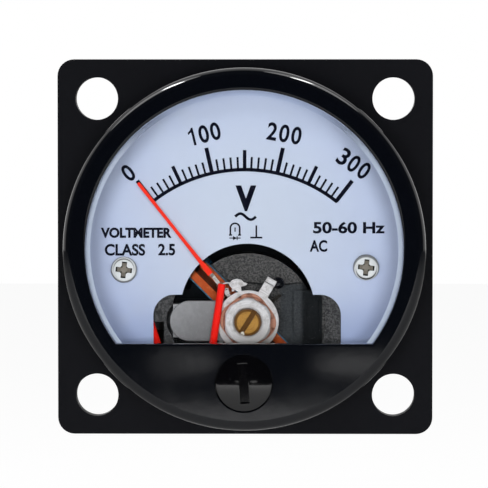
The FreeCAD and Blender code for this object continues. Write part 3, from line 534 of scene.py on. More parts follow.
@dataclass(frozen=True)
class CapMould(SparkMould):
    """The core's cap: crinkled, with painted shade in a black hollow beside the coil and in a black pit to the right,
    and a smooth, darker side.
    """

    # recess is the colour of the painted shade in the hollow and the pit; the seam line is drawn in it too.
    recess: Colour = (0.002, 0.0025, 0.003)
    side: Colour = (0.034, 0.038, 0.041)
    # Where each thing begins or ends: a first and a last place of a smooth step.
    under_seam: Point = (-4.4, -4.75)
    flank: Point = (3.9, 4.5)
    pit: Point = (6.5, 7.1)
    post: Point = (9.35, 9.2)
    seam_z: float = -4.5
    seam_left: Point = (-0.6, 0.2)
    seam_right: Point = (8.6, 6.8)
    coil_offset: float = 6.01

    def tone(self, web: Web) -> object:
        """The crinkled grey, with painted shade that blackens it where the cap falls away, and a dark seam line."""
        x, _, z = web.axes(web.place())
        across = (x + z) * 0.7071 + self.coil_offset
        below = z.ramp(*self.under_seam)
        flank = x.ramp(*self.flank) * x.ramp(*self.post) * below
        plain = web.tint(flank * 0.75, super().tone(web), self.side)
        # Painted shade: black in the pit below the seam, to the right, and in the hollow beside the coil.
        deep = x.ramp(*self.pit) * x.ramp(*self.post) * below
        seam = (z - (x * 2.2).sine() * 0.07 - self.seam_z).size().ramp(0.13, 0.05)
        seam = seam * x.ramp(*self.seam_left) * x.ramp(*self.seam_right)
        hollow = across.ramp(-1.3, -1.55) * x.ramp(0.0, -1.0)
        return web.tint((hollow + deep * 0.8 + seam * 0.85).at_least(0.0), plain, self.recess)


@dataclass(frozen=True)
class CastBar(BrushedMetal):
    """A satin casting, with painted shade that darkens it towards its lower right."""

    shade_span: Point = (-0.4, 6.6)

    def tone(self, web: Web) -> object:
        """Mottled grey, with painted shade to the lower right."""
        x, _, z = web.axes(web.place())
        away = (x * 0.6 - z * 0.8).ramp(*self.shade_span) * 0.75
        return web.tint(away, super().tone(web), tuple(c * 0.42 for c in self.colour))


@dataclass(frozen=True)
class ArmStrip(BrushedMetal):
    """The pointer's arm: bright beside the coil, nearly black to the right of the pivot, over the cap."""

    turn: Point = (0.6, 1.4)
    black: Colour = (0.02, 0.016, 0.012)

    def tone(self, web: Web) -> object:
        """Bright metal that is dark to the right of the pivot."""
        x, _, _ = web.axes(web.place())
        return web.tint(x.ramp(*self.turn), super().tone(web), self.black)


@dataclass(frozen=True)
class WireCoil(Finish):
    """Enamelled copper wire laid side by side across the former."""

    angle: float = -45.0
    centre: Point = (0.35, -8.85)
    wire: float = 0.12
    # glint is the colour of painted highlight streaks; gap and gap_shade set the painted shade in the gap along the
    # middle of the coil.
    glint: Colour = (0.95, 0.42, 0.16)
    gap: Point = (0.44, 0.32)
    gap_shade: Colour = (0.012, 0.006, 0.004)

    def _across(self, web: Web) -> Value:
        """The place across the former, in millimetres."""
        return web.axes(web.moved((self.centre[0], 0.0, self.centre[1]), self.angle))[0]

    def tone(self, web: Web) -> object:
        """Deep copper, with painted highlights on the crowns of the wires and painted shade between them, painted
        highlight streaks, and painted shade in the gap along the middle.
        """
        across = self._across(web)
        crown = (across * (math.pi / self.wire)).sine().size()
        shade = web.tint(crown * 0.6 + 0.2, tuple(c * 0.4 for c in self.colour), self.colour)
        streak = web.tint(web.noise(0.6, 3.0).ramp(0.5, 0.75) * 0.4, shade, self.glint)
        return web.tint(across.size().ramp(*self.gap) * 0.9, streak, self.gap_shade)

    def relief(self, web: Web) -> object:
        """The crowns of the wires."""
        return web.bump((self._across(web) * (math.pi / self.wire)).sine().size(), self.depth)


@dataclass(frozen=True)
class Laminate(Finish):
    """Woven board laminate."""

    def relief(self, web: Web) -> object:
        """The weave under the lacquer."""
        x, _, z = web.axes(web.place())
        weave = (x * 12.0).sine() * (z * 12.0).sine()
        return web.bump(weave * 0.5 + 0.5, self.depth)


@dataclass(frozen=True)
class ClearSheet(Finish):
    """The clear window: what is behind shows through, with a faint gloss."""

    shine: float = 0.05

    def shader(self, web: Web) -> object:
        """See-through with a little gloss, and slight wipe marks in it."""
        clear = web.node("ShaderNodeBsdfTransparent", None, {0: (*self.colour, 1.0)}).outputs[0]
        gloss = web.node("ShaderNodeBsdfAnisotropic", None, {"Color": (1.0, 1.0, 1.0, 1.0), "Roughness": 0.04})
        smear = web.noise(9.0, 3.0, 0.6) * 0.4 + 0.8
        mix = web.node("ShaderNodeMixShader", None, {0: smear * self.shine, 1: clear, 2: gloss.outputs[0]})
        return mix.outputs[0]


@dataclass(frozen=True)
class BevelReflection(Finish):
    """The window's bevel: a painted reflection makes it pale at the sides and at the foot, and painted shade makes it
    dark at the top, where it is nearly clear.
    """

    # pale and reflecting_sides give where the painted reflection grows towards the sides, foot where it grows towards
    # the bottom.
    pale: Point = (9.0, 16.0)
    reflecting_sides: Point = (8.0, 15.5)
    foot: Point = (4.0, -8.0)

    def tone(self, web: Web) -> object:
        """A painted reflection, pale at the sides and foot, with painted shade dark at the top; a little streaky all
        round.
        """
        x, _, z = web.axes(web.place())
        side = x.size().ramp(*self.pale).at_least(z.ramp(*self.foot))
        streak = web.noise(1.1, 3.0, 0.6) * 0.25 + 0.8
        return web.tint(side * streak, tuple(c * 0.1 for c in self.colour), self.colour)

    def shader(self, web: Web) -> object:
        """Clear at the top; elsewhere it shows the painted reflection."""
        x, _, z = web.axes(web.place())
        side = x.size().ramp(*self.reflecting_sides).at_least(z.ramp(*self.foot))
        clear = web.node("ShaderNodeBsdfTransparent", None, {0: (0.9, 0.94, 1.0, 1.0)}).outputs[0]
        mix = web.node("ShaderNodeMixShader", None, {0: side * 0.9 + 0.06, 1: clear, 2: super().shader(web)})
        return mix.outputs[0]


CASE = Finish("case_plastic", (0.0036, 0.0038, 0.005), rough=0.45, specular=0.12, grain=0.22, depth=0.003)
BEZEL = GlossMould("bezel_plastic", (0.0014, 0.0018, 0.003), rough=0.055, specular=0.38, grain=1.4, depth=0.001)
KNOB = GlossMould("adjuster_plastic", (0.0012, 0.0012, 0.0016), rough=0.05, specular=0.5, grain=2.0, depth=0.0004)
FRAME = SparkMould("frame_plastic", (0.05, 0.05, 0.051), rough=0.6, specular=0.35, depth=0.05)
CAP = CapMould("cap_plastic", (0.058, 0.057, 0.056), rough=0.62, specular=0.35, depth=0.06)
DIAL = DialPaint("dial_paint", (0.545, 0.58, 0.66), rough=0.62, specular=0.3, grain=0.15, depth=0.001)
INK = Finish("scale_ink", (0.0025, 0.003, 0.009), rough=0.6, specular=0.15, grain=0.1, depth=0.001, vary=0.4)
RED_PAINT = Finish("pointer_paint", (0.86, 0.03, 0.012), rough=0.5, specular=0.25, grain=0.2, depth=0.004, vary=0.08)
RED_SLEEVE = Finish("red_insulation", (0.9, 0.012, 0.006), rough=0.4, specular=0.4, grain=0.35, depth=0.012,
                    vary=0.1)
DARK_SLEEVE = Finish("dark_insulation", (0.03, 0.004, 0.004), rough=0.45, grain=0.35, depth=0.01)
# NICKEL and BRONZE use shade to paint shade towards their foot.
NICKEL = TurnedMetal("nickel", (0.76, 0.72, 0.7), rough=0.34, metal=0.2, depth=0.004, worn=0.5, shade=0.75)
SCREW = TurnedMetal("screw_nickel", (0.72, 0.71, 0.69), rough=0.25, metal=0.35, depth=0.002, worn=0.1)
CROSS = RecessedHead("cross_screw_nickel", (0.85, 0.84, 0.81), rough=0.22, metal=0.2, depth=0.002, worn=0.1,
                     dark_tone=(0.27, 0.235, 0.19), centre=(14.5, -2.6))
BRASS = SlottedBrass("brass", (0.5, 0.25, 0.05), rough=0.36, metal=0.2, depth=0.006, dark_tone=(0.1, 0.035, 0.008),
                     worn=0.5)
TERMINAL = TurnedMetal("terminal_brass", (0.74, 0.56, 0.27), rough=0.32, metal=1.0, depth=0.003, centre=(10.0, 0.0))
BRONZE = TurnedMetal("bronze", (0.6, 0.28, 0.18), rough=0.34, metal=0.2, depth=0.006, dark_tone=(0.1, 0.025, 0.012),
                     worn=1.0, shade=0.3)
IRON = BrushedMetal("soft_iron", (0.1, 0.1, 0.105), rough=0.5, metal=0.8, depth=0.006)
BRIDGE = CastBar("bridge_metal", (0.37, 0.355, 0.35), rough=0.5, metal=0.1, depth=0.006,
                 dark_tone=(0.3, 0.29, 0.285))
FOIL = BrushedMetal("former_aluminium", (0.09, 0.32, 0.46), rough=0.3, metal=0.3, depth=0.003,
                    dark_tone=(0.03, 0.12, 0.2))
STRIP = ArmStrip("arm_aluminium", (0.8, 0.77, 0.72), rough=0.3, metal=0.2, depth=0.003,
                     dark_tone=(0.3, 0.27, 0.24))
COPPER = WireCoil("copper_wire", (0.78, 0.13, 0.03), rough=0.34, metal=0.1, depth=0.04)
RUBY = Finish("ruby", (0.5, 0.01, 0.05), rough=0.08, grain=0.4, depth=0.001)
# Nearly black: the board's colour is darkened as painted shade, standing in for the shade between the core and the
# case.
BOARD = Laminate("board_laminate", (0.008, 0.009, 0.01), rough=0.45, depth=0.01)
BLACK = Finish("component_black", (0.012, 0.012, 0.012), rough=0.4, grain=0.2, depth=0.006)
PITCH = GlossMould("bead_black", (0.002, 0.002, 0.003), rough=0.22, specular=0.5, grain=0.6, depth=0.01)
LACQUER = Finish("resistor_coat", (0.42, 0.27, 0.13), rough=0.3, grain=0.4, depth=0.006)
GLASS = ClearSheet("window_glass", (0.97, 0.985, 1.0), rough=0.04)
BEVEL_REFLECTION = BevelReflection("window_bevel", (0.5, 0.58, 0.72), rough=0.3, grain=0.5, depth=0.002)


# ---- modelling with operators ----


def arc(centre: Point, radius: float, start: float, end: float, steps: int) -> list[Point]:
    """Points on a circle about an axis along Y.

    Args:
        centre: The circle's centre, as (x, z).
        radius: Its radius.
        start: The first point's angle in degrees, clockwise from straight up.
        end: The last point's angle.
        steps: The steps between them.

    Returns:
        The points, both ends included.
    """
    turns = [math.radians(start + (end - start) * step / steps) for step in range(steps + 1)]
    return [(centre[0] + radius * math.sin(a), centre[1] + radius * math.cos(a)) for a in turns]


class Bench:
    """Shapes made with operators, as by hand. Lengths are in millimetres."""

    @staticmethod
    def _only(piece: bpy.types.Object) -> None:
        """Select one object and make it active."""
        bpy.ops.object.select_all(action="DESELECT")
        piece.select_set(True)
        bpy.context.view_layer.objects.active = piece

    @staticmethod
    def start(name: str, add: Callable[..., set[str]], **settings: object) -> bpy.types.Object:
        """Add a primitive with nothing else selected.

        Args:
            name: The new object's name.
            add: The operator that adds it.
            settings: The operator's settings.

        Returns:
            The object.
        """
        bpy.ops.object.select_all(action="DESELECT")
        add(**settings)
        piece = bpy.context.active_object
        piece.name = name
        return piece

    @staticmethod
    def _apply_place(piece: bpy.types.Object) -> None:
        """Move the object's place, turn and size into its mesh."""
        Bench._only(piece)
        bpy.ops.object.transform_apply(location=True, rotation=True, scale=True)

    @staticmethod
    def _dot(name: str, place: Place) -> bpy.types.Object:
        """Start a shape from one vertex, left in edit mode.

        Args:
            name: The object's name.
            place: The vertex, in millimetres.

        Returns:
            The object.
        """
        piece = Bench.start(name, bpy.ops.mesh.primitive_plane_add, size=MM)
        bpy.ops.object.mode_set(mode="EDIT")
        bpy.ops.mesh.select_all(action="SELECT")
        bpy.ops.mesh.merge(type="CENTER")
        bpy.ops.transform.translate(value=Vector(place) * MM)
        return piece

    @staticmethod
    def _walk(steps: list[Place]) -> None:
        """Extrude the selected vertex along a path of places, in millimetres."""
        for here, there in zip(steps, steps[1:]):
            move = (Vector(there) - Vector(here)) * MM
            bpy.ops.mesh.extrude_region_move(TRANSFORM_OT_translate={"value": move})

    @staticmethod
    def pick_none(piece: bpy.types.Object) -> None:
        """Leave nothing in the mesh selected, in object mode, ready to pick by a test."""
        Bench._only(piece)
        bpy.ops.object.mode_set(mode="EDIT")
        bpy.ops.mesh.select_all(action="DESELECT")
        bpy.ops.object.mode_set(mode="OBJECT")

    @staticmethod
    def _close() -> None:
        """Merge doubles, turn the faces outwards and leave edit mode."""
        bpy.ops.mesh.select_all(action="SELECT")
        bpy.ops.mesh.remove_doubles(threshold=1e-6)
        bpy.ops.mesh.normals_make_consistent(inside=False)
        bpy.ops.object.mode_set(mode="OBJECT")

    @staticmethod
    def lathe(name: str, profile: list[Point], centre: Point = (0.0, 0.0), steps: int = 96) -> bpy.types.Object:
        """Spin a profile about an axis along Y.

        Args:
            name: The object's name.
            profile: (radius, y) points; a shape closes on the axis or on its first point.
            centre: The axis, as (x, z).
            steps: The faces round the axis.

        Returns:
            The object.
        """
        places = [(centre[0] + r, y, centre[1]) for r, y in profile]
        piece = Bench._dot(name, places[0])
        Bench._walk(places)
        bpy.ops.mesh.select_all(action="SELECT")
        bpy.ops.mesh.spin(steps=steps, angle=2 * math.pi, center=(centre[0] * MM, 0.0, centre[1] * MM),
                          axis=(0.0, 1.0, 0.0))
        Bench._close()
        return piece

    @staticmethod
    def slab(name: str, outline: list[Point], y0: float, y1: float) -> bpy.types.Object:
        """Extrude a closed outline of (x, z) points along Y.

        Args:
            name: The object's name.
            outline: The points in order.
            y0: The front face.
            y1: The rear face.

        Returns:
            The object.
        """
        places = [(x, y0, z) for x, z in outline]
        piece = Bench._dot(name, places[0])
        Bench._walk(places + places[:1])
        bpy.ops.mesh.select_all(action="SELECT")
        bpy.ops.mesh.remove_doubles(threshold=1e-6)
        bpy.ops.mesh.edge_face_add()
        bpy.ops.mesh.extrude_region_move(TRANSFORM_OT_translate={"value": (0.0, (y1 - y0) * MM, 0.0)})
        Bench._close()
        return piece

    @staticmethod
    def block(name: str, low: Place, high: Place) -> bpy.types.Object:
        """A block between two corners.

        Args:
            name: The object's name.
            low: The low corner.
            high: The high corner.

        Returns:
            The object.
        """
        middle = [(a + b) / 2 * MM for a, b in zip(low, high)]
        piece = Bench.start(name, bpy.ops.mesh.primitive_cube_add, size=1.0, location=middle)
        piece.scale = [(b - a) * MM for a, b in zip(low, high)]
        Bench._apply_place(piece)
        return piece

    @staticmethod
    def rod(name: str, radius: float, y0: float, y1: float, centre: Point = (0.0, 0.0),
            sides: int = 64) -> bpy.types.Object:
        """A cylinder along Y.

        Args:
            name: The object's name.
            radius: Its radius.
            y0: Its front end.
            y1: Its rear end.
            centre: Its axis, as (x, z).
            sides: The faces round it.

        Returns:
            The object.
        """
        return Bench.lathe(name, [(0.0, y0), (radius, y0), (radius, y1), (0.0, y1)], centre, sides)

    @staticmethod
    def join_solid(piece: bpy.types.Object, other: bpy.types.Object, how: Solid) -> None:
        """Combine a solid with another one, which is used up.

        Args:
            piece: The solid that stays.
            other: The solid that is taken away, added or intersected.
            how: Which of these.
        """
        Bench._only(piece)
        modifier = piece.modifiers.new("solid", "BOOLEAN")
        modifier.operation = how.value
        modifier.solver = "EXACT"
        modifier.object = other
        bpy.ops.object.modifier_apply(modifier=modifier.name)
        bpy.data.objects.remove(other)

    @staticmethod
    def drill(piece: bpy.types.Object, radius: float, y0: float, y1: float, centre: Point = (0.0, 0.0),
              sides: int = 64) -> None:
        """Drill a round hole along Y.

        Args:
            piece: The solid.
            radius: The hole's radius.
            y0: Where the drill starts.
            y1: Where it ends.
            centre: Its axis, as (x, z).
            sides: The faces round it.
        """
        Bench.join_solid(piece, Bench.rod("drill", radius, y0, y1, centre, sides), Solid.CUT)

    @staticmethod
    def round_edges(piece: bpy.types.Object, width: float, segments: int = 3, angle: float = 35.0) -> None:
        """Round every edge that is sharper than an angle.

        Args:
            piece: The solid.
            width: The rounding's width.
            segments: Its faces.
            angle: The smallest edge angle in degrees.
        """
        Bench._only(piece)
        modifier = piece.modifiers.new("edges", "BEVEL")
        modifier.width = width * MM
        modifier.segments = segments
        modifier.limit_method = "ANGLE"
        modifier.angle_limit = math.radians(angle)
        modifier.use_clamp_overlap = True
        bpy.ops.object.modifier_apply(modifier=modifier.name)

    @staticmethod
    def turn(piece: bpy.types.Object, angle: float, centre: Point) -> bpy.types.Object:
        """Turn a shape about an axis along Y, clockwise from the front.

        Args:
            piece: The shape.
            angle: The turn in degrees.
            centre: The axis, as (x, z).

        Returns:
            The same object.
        """
        there = Matrix.Translation((centre[0] * MM, 0.0, centre[1] * MM))
        piece.matrix_world = there @ Matrix.Rotation(math.radians(angle), 4, "Y") @ there.inverted()
        bpy.context.view_layer.update()
        Bench._apply_place(piece)
        return piece

    @staticmethod
    def merge(name: str, pieces: list[bpy.types.Object]) -> bpy.types.Object:
        """Join loose shapes into one object.

        Args:
            name: The joined object's name.
            pieces: The shapes.

        Returns:
            The object.
        """
        Bench._only(pieces[0])
        for piece in pieces[1:]:
            piece.select_set(True)
        if len(pieces) > 1:
            bpy.ops.object.join()
        pieces[0].name = name
        return pieces[0]

    @staticmethod
    def copy(piece: bpy.types.Object, name: str) -> bpy.types.Object:
        """Copy an object with its own mesh.

        Args:
            piece: The object.
            name: The copy's name.

        Returns:
            The copy.
        """
        Bench._only(piece)
        bpy.ops.object.duplicate()
        made = bpy.context.active_object
        made.name = name
        return made

    @staticmethod
    def wire(name: str, path: list[Place], radius: float) -> bpy.types.Object:
        """A round wire through a row of places, with closed ends.

        Args:
            name: The object's name.
            path: The places, in millimetres.
            radius: The wire's radius.

        Returns:
            The object.
        """
        curve = Bench.start(name, bpy.ops.curve.primitive_nurbs_path_add)
        curve.data.splines.clear()
        spline = curve.data.splines.new("POLY")
        spline.points.add(len(path) - 1)
        for point, place in zip(spline.points, path):
            point.co = (*(Vector(place) * MM), 1.0)
        curve.data.dimensions = "3D"
        curve.data.bevel_depth = radius * MM
        curve.data.bevel_resolution = 3
        curve.data.use_fill_caps = True
        bpy.ops.object.convert(target="MESH")
        wire = bpy.context.active_object
        wire.name = name
        bpy.ops.object.mode_set(mode="EDIT")
        Bench._close()
        Bench._apply_place(wire)
        return wire

    @staticmethod
    def smooth(piece: bpy.types.Object, angle: float = 32.0) -> None:
        """Shade smoothly, apart from edges sharper than an angle in degrees."""
        Bench._only(piece)
        bpy.ops.object.shade_smooth_by_angle(angle=math.radians(angle))
        for face in piece.data.polygons:
            if abs(face.normal.y) > 0.99999:
                face.use_smooth = False

    @staticmethod
    def writing(name: str, words: str, height: float, width: float | None, heavy: float = 0.0) -> bpy.types.Object:
        """Flat lettering as a thin solid, centred on the origin and facing the front.

        Args:
            name: The object's name.
            words: What it says.
            height: The height of its capitals.
            width: Its whole width, or None for the font's own.
            heavy: How much its strokes are thickened, as a share of the height.

        Returns:
            The object.
        """
        text = Bench.start(name, bpy.ops.object.text_add, rotation=(math.pi / 2, 0.0, 0.0))
        text.data.body = words
        text.data.size = 1.0
        text.data.offset = heavy
        text.data.extrude = 0.02
        text.data.resolution_u = 6
        bpy.ops.object.convert(target="MESH")
        piece = bpy.context.active_object
        Bench._apply_place(piece)
        corners = [v.co for v in piece.data.vertices]
        low = Vector([min(c[i] for c in corners) for i in range(3)])
        high = Vector([max(c[i] for c in corners) for i in range(3)])
        up = height * MM / (high.z - low.z)
        wide = up if width is None else width * MM / (high.x - low.x)
        piece.data.transform(Matrix.Translation(-(low + high) / 2))
        piece.data.transform(Matrix.Diagonal((wide, 0.045 * MM / (high.y - low.y), up, 1.0)))
        return piece


# ---- the meter's pieces ----


@dataclass
class Piece:
    """What every sub-assembly shares: handing finished meshes to the frame."""

    body: str = "case"

    def hand_over(self, piece: bpy.types.Object, finish: Finish, slot: str, stands_for: tuple[str, ...] = (),
                  smooth: float | None = 32.0) -> bpy.types.Object:
        """Dress a finished mesh and let it ride with its body.

        Args:
            piece: The mesh.
            finish: Its finish.
            slot: A material slot's name, not used.
            stands_for: The CAD nodes that it replaces.
            smooth: The angle of smooth shading, or None for flat faces.

        Returns:
            The object.
        """
        if smooth is not None:
            Bench.smooth(piece, smooth)
        piece.data.materials.clear()
        piece.data.materials.append(finish.material())
        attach(piece, self.body)
        if stands_for:
            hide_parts(*stands_for)
        LOG.info("piece %s: %d faces", piece.name, len(piece.data.polygons))
        return piece


@dataclass
class Case(Piece):
    """The flange with its holes and the round body behind it."""

    side: float = 45.0
    thick: float = 2.5
    corner: float = 2.0
    pitch: float = 35.6
    hole: float = 2.55
    radius: float = 20.5
    inner: float = 19.2
    depth: float = 22.0
    floor: float = 20.0
    boss: float = 3.9
    boss_end: float = 23.0
    stud: float = 10.0
    stud_hole: float = 2.1
    # The lip inside the bezel: its radii, its front and its root.
    spigot: tuple[float, float, float, float] = (19.6, 20.35, -4.3, -2.45)

    def flange(self) -> bpy.types.Object:
        """Make the flange: rounded corners, four holes and softened edges.

        Returns:
            The flange.
        """
        inset = self.side / 2 - self.corner
        outline = []
        for quarter, (sx, sz) in enumerate(((1, 1), (1, -1), (-1, -1), (-1, 1))):
            outline += arc((sx * inset, sz * inset), self.corner, 90 * quarter, 90 * quarter + 90, 8)
        flange = Bench.slab("flange", outline, -self.thick, 0.0)
        for sx in (-1, 1):
            for sz in (-1, 1):
                Bench.drill(flange, self.hole, -4.0, 1.0, (sx * self.pitch / 2, sz * self.pitch / 2), 72)
        Bench.drill(flange, self.inner, -4.0, 1.0, sides=128)
        Bench.round_edges(flange, 0.28, 3, 50.0)
        return flange

    def shell(self) -> bpy.types.Object:
        """Make the round body with its inner wall and the two terminal bosses.

        Returns:
            The shell.
        """
        r, i, d = self.radius, self.inner, self.depth
        profile = [(0.0, d), (r - 0.9, d), (r - 0.55, d - 0.08), (r - 0.25, d - 0.25), (r - 0.08, d - 0.55),
                   (r, d - 0.9), (r, -0.3), (i + 0.02, -0.3), (i + 0.02, self.floor), (0.0, self.floor)]
        shell = Bench.lathe("body_shell", profile, steps=160)
        for hand in Hand:
            boss = Bench.lathe("boss", [(0.0, d - 1.0), (self.boss, d - 1.0), (self.boss, self.boss_end - 0.2),
                                        (self.boss - 0.2, self.boss_end), (0.0, self.boss_end)],
                               (hand.value * self.stud, 0.0), 64)
            Bench.join_solid(shell, boss, Solid.FUSE)
        for hand in Hand:
            Bench.drill(shell, self.stud_hole, self.floor - 1, self.boss_end + 1, (hand.value * self.stud, 0.0), 48)
        return shell

    def build(self) -> None:
        """Make and dress the case."""
        flange = self.flange()
        low, high, y0, y1 = self.spigot
        spigot = Bench.lathe("spigot", [(low, y1), (low, y0), (high, y0), (high, y1), (low, y1)], steps=128)
        whole = Bench.merge("rear_case_moulding", [flange, self.shell(), spigot])
        self.hand_over(whole, CASE, "case_plastic", ("rear_case",))


@dataclass
class Bezel(Piece):
    """The round bezel, its mask and the window behind it."""

    radius: float = 21.4
    skirt: float = 20.4
    front: float = -11.0
    lip: float = 1.4
    shoulder: float = 1.2
    opening: float = 18.75
    chord: float = -11.1
    knob: Point = (-0.05, -15.75)
    recess: float = 3.42
    window: float = 20.2

    def ring(self) -> bpy.types.Object:
        """Spin the ring: rolled shoulder, flat face and a rounded inner edge.

        Returns:
            The ring.
        """
        r, s, f = self.radius, self.shoulder, self.front
        profile = [(self.skirt, -2.5), (r - 0.2, -2.5), (r, -2.7)]
        for step in range(13):
            a = math.radians(90 * step / 12)
            profile.append((r - s + s * math.cos(a), f + s - s * math.sin(a)))
        nose = 0.3
        for step in range(7):
            a = math.radians(90 * step / 6)
            profile.append((self.opening + nose - nose * math.sin(a), f + nose - nose * math.cos(a)))
        profile += [(self.opening, f + self.lip), (self.skirt, f + self.lip), (self.skirt, -2.5)]
        return Bench.lathe("ring", profile, steps=256)

    def mask(self) -> bpy.types.Object:
        """Cut the mask from a disc, with a rounded upper edge and the adjuster's recess and boss.

        Returns:
            The mask.
        """
        rear = self.front + self.lip
        mask = Bench.rod("mask", self.opening + 0.5, self.front, rear, sides=256)
        Bench.join_solid(mask, Bench.block("above", (-30, -20, self.chord), (30, 0, 30)), Solid.CUT)
        Bench.pick_none(mask)
        for edge in mask.data.edges:
            a, b = (mask.data.vertices[v].co / MM for v in edge.vertices)
            edge.select = all(abs(p.y - self.front) < 0.01 and abs(p.z - self.chord) < 0.01 for p in (a, b))
        bpy.ops.object.mode_set(mode="EDIT")
        bpy.ops.mesh.select_mode(type="EDGE")
        bpy.ops.mesh.bevel(offset=0.28 * MM, segments=5, affect="EDGES")
        bpy.ops.mesh.select_mode(type="VERT")
        bpy.ops.object.mode_set(mode="OBJECT")
        boss = Bench.rod("boss", 3.6, rear - 0.4, -8.4, self.knob, 64)
        Bench.join_solid(mask, boss, Solid.FUSE)
        return mask

    def hole(self) -> bpy.types.Object:
        """The space that the adjuster takes out of the mask and the ring.

        Returns:
            The space as a solid.
        """
        return Bench.lathe("hole", [(0.0, -12.0), (self.recess + 0.06, -12.0), (self.recess + 0.06, self.front),
                                    (self.recess, self.front + 0.08), (self.recess, -9.92), (1.56, -9.92),
                                    (1.56, -7.0), (0.0, -7.0)], self.knob, 96)

    def build(self) -> None:
        """Make and dress the bezel, and the window with its ground edge."""
        ring = self.ring()
        Bench.join_solid(ring, self.mask(), Solid.FUSE)
        Bench.join_solid(ring, self.hole(), Solid.CUT)
        ring.name = "bezel_moulding"
        self.hand_over(ring, BEZEL, "bezel_plastic", ("front_bezel",), 28.0)
        self.glaze()

    def glaze(self) -> None:
        """Make the window: a plate with a raised middle whose bevel carries a painted reflection."""
        seat = self.front + self.lip
        rear, face = seat + 1.5, seat - 0.75
        r = self.opening - 0.06
        profile = [(0.0, rear), (self.window, rear), (self.window, seat + 0.01), (r, seat + 0.01), (r, face + 0.55),
                   (r - 0.55, face), (0.0, face)]
        pane = Bench.lathe("window_pane", profile, steps=192)
        Bench.join_solid(pane, Bench.block("low", (-30, -20, -30), (30, 0, -12.0)), Solid.CUT)
        low = Bench.block("low", (-30, -20, -30), (30, seat + 0.01, self.chord + 0.05))
        Bench.join_solid(pane, low, Solid.CUT)
        self.hand_over(pane, GLASS, "window_glass", ("window",), 20.0)
        pane.data.materials.append(BEVEL_REFLECTION.material())
        for facet in pane.data.polygons:
            bevelled = 0.2 < -facet.normal.y < 0.95 and facet.center.y / MM < seat
            facet.material_index = 1 if bevelled else 0


@dataclass
class Label:
    """One piece of lettering on the dial."""

    name: str
    words: str
    at: Point
    height: float
    width: float | None = None
    angle: float = 0.0
    heavy: float = 0.0
    pitch: float = 0.0


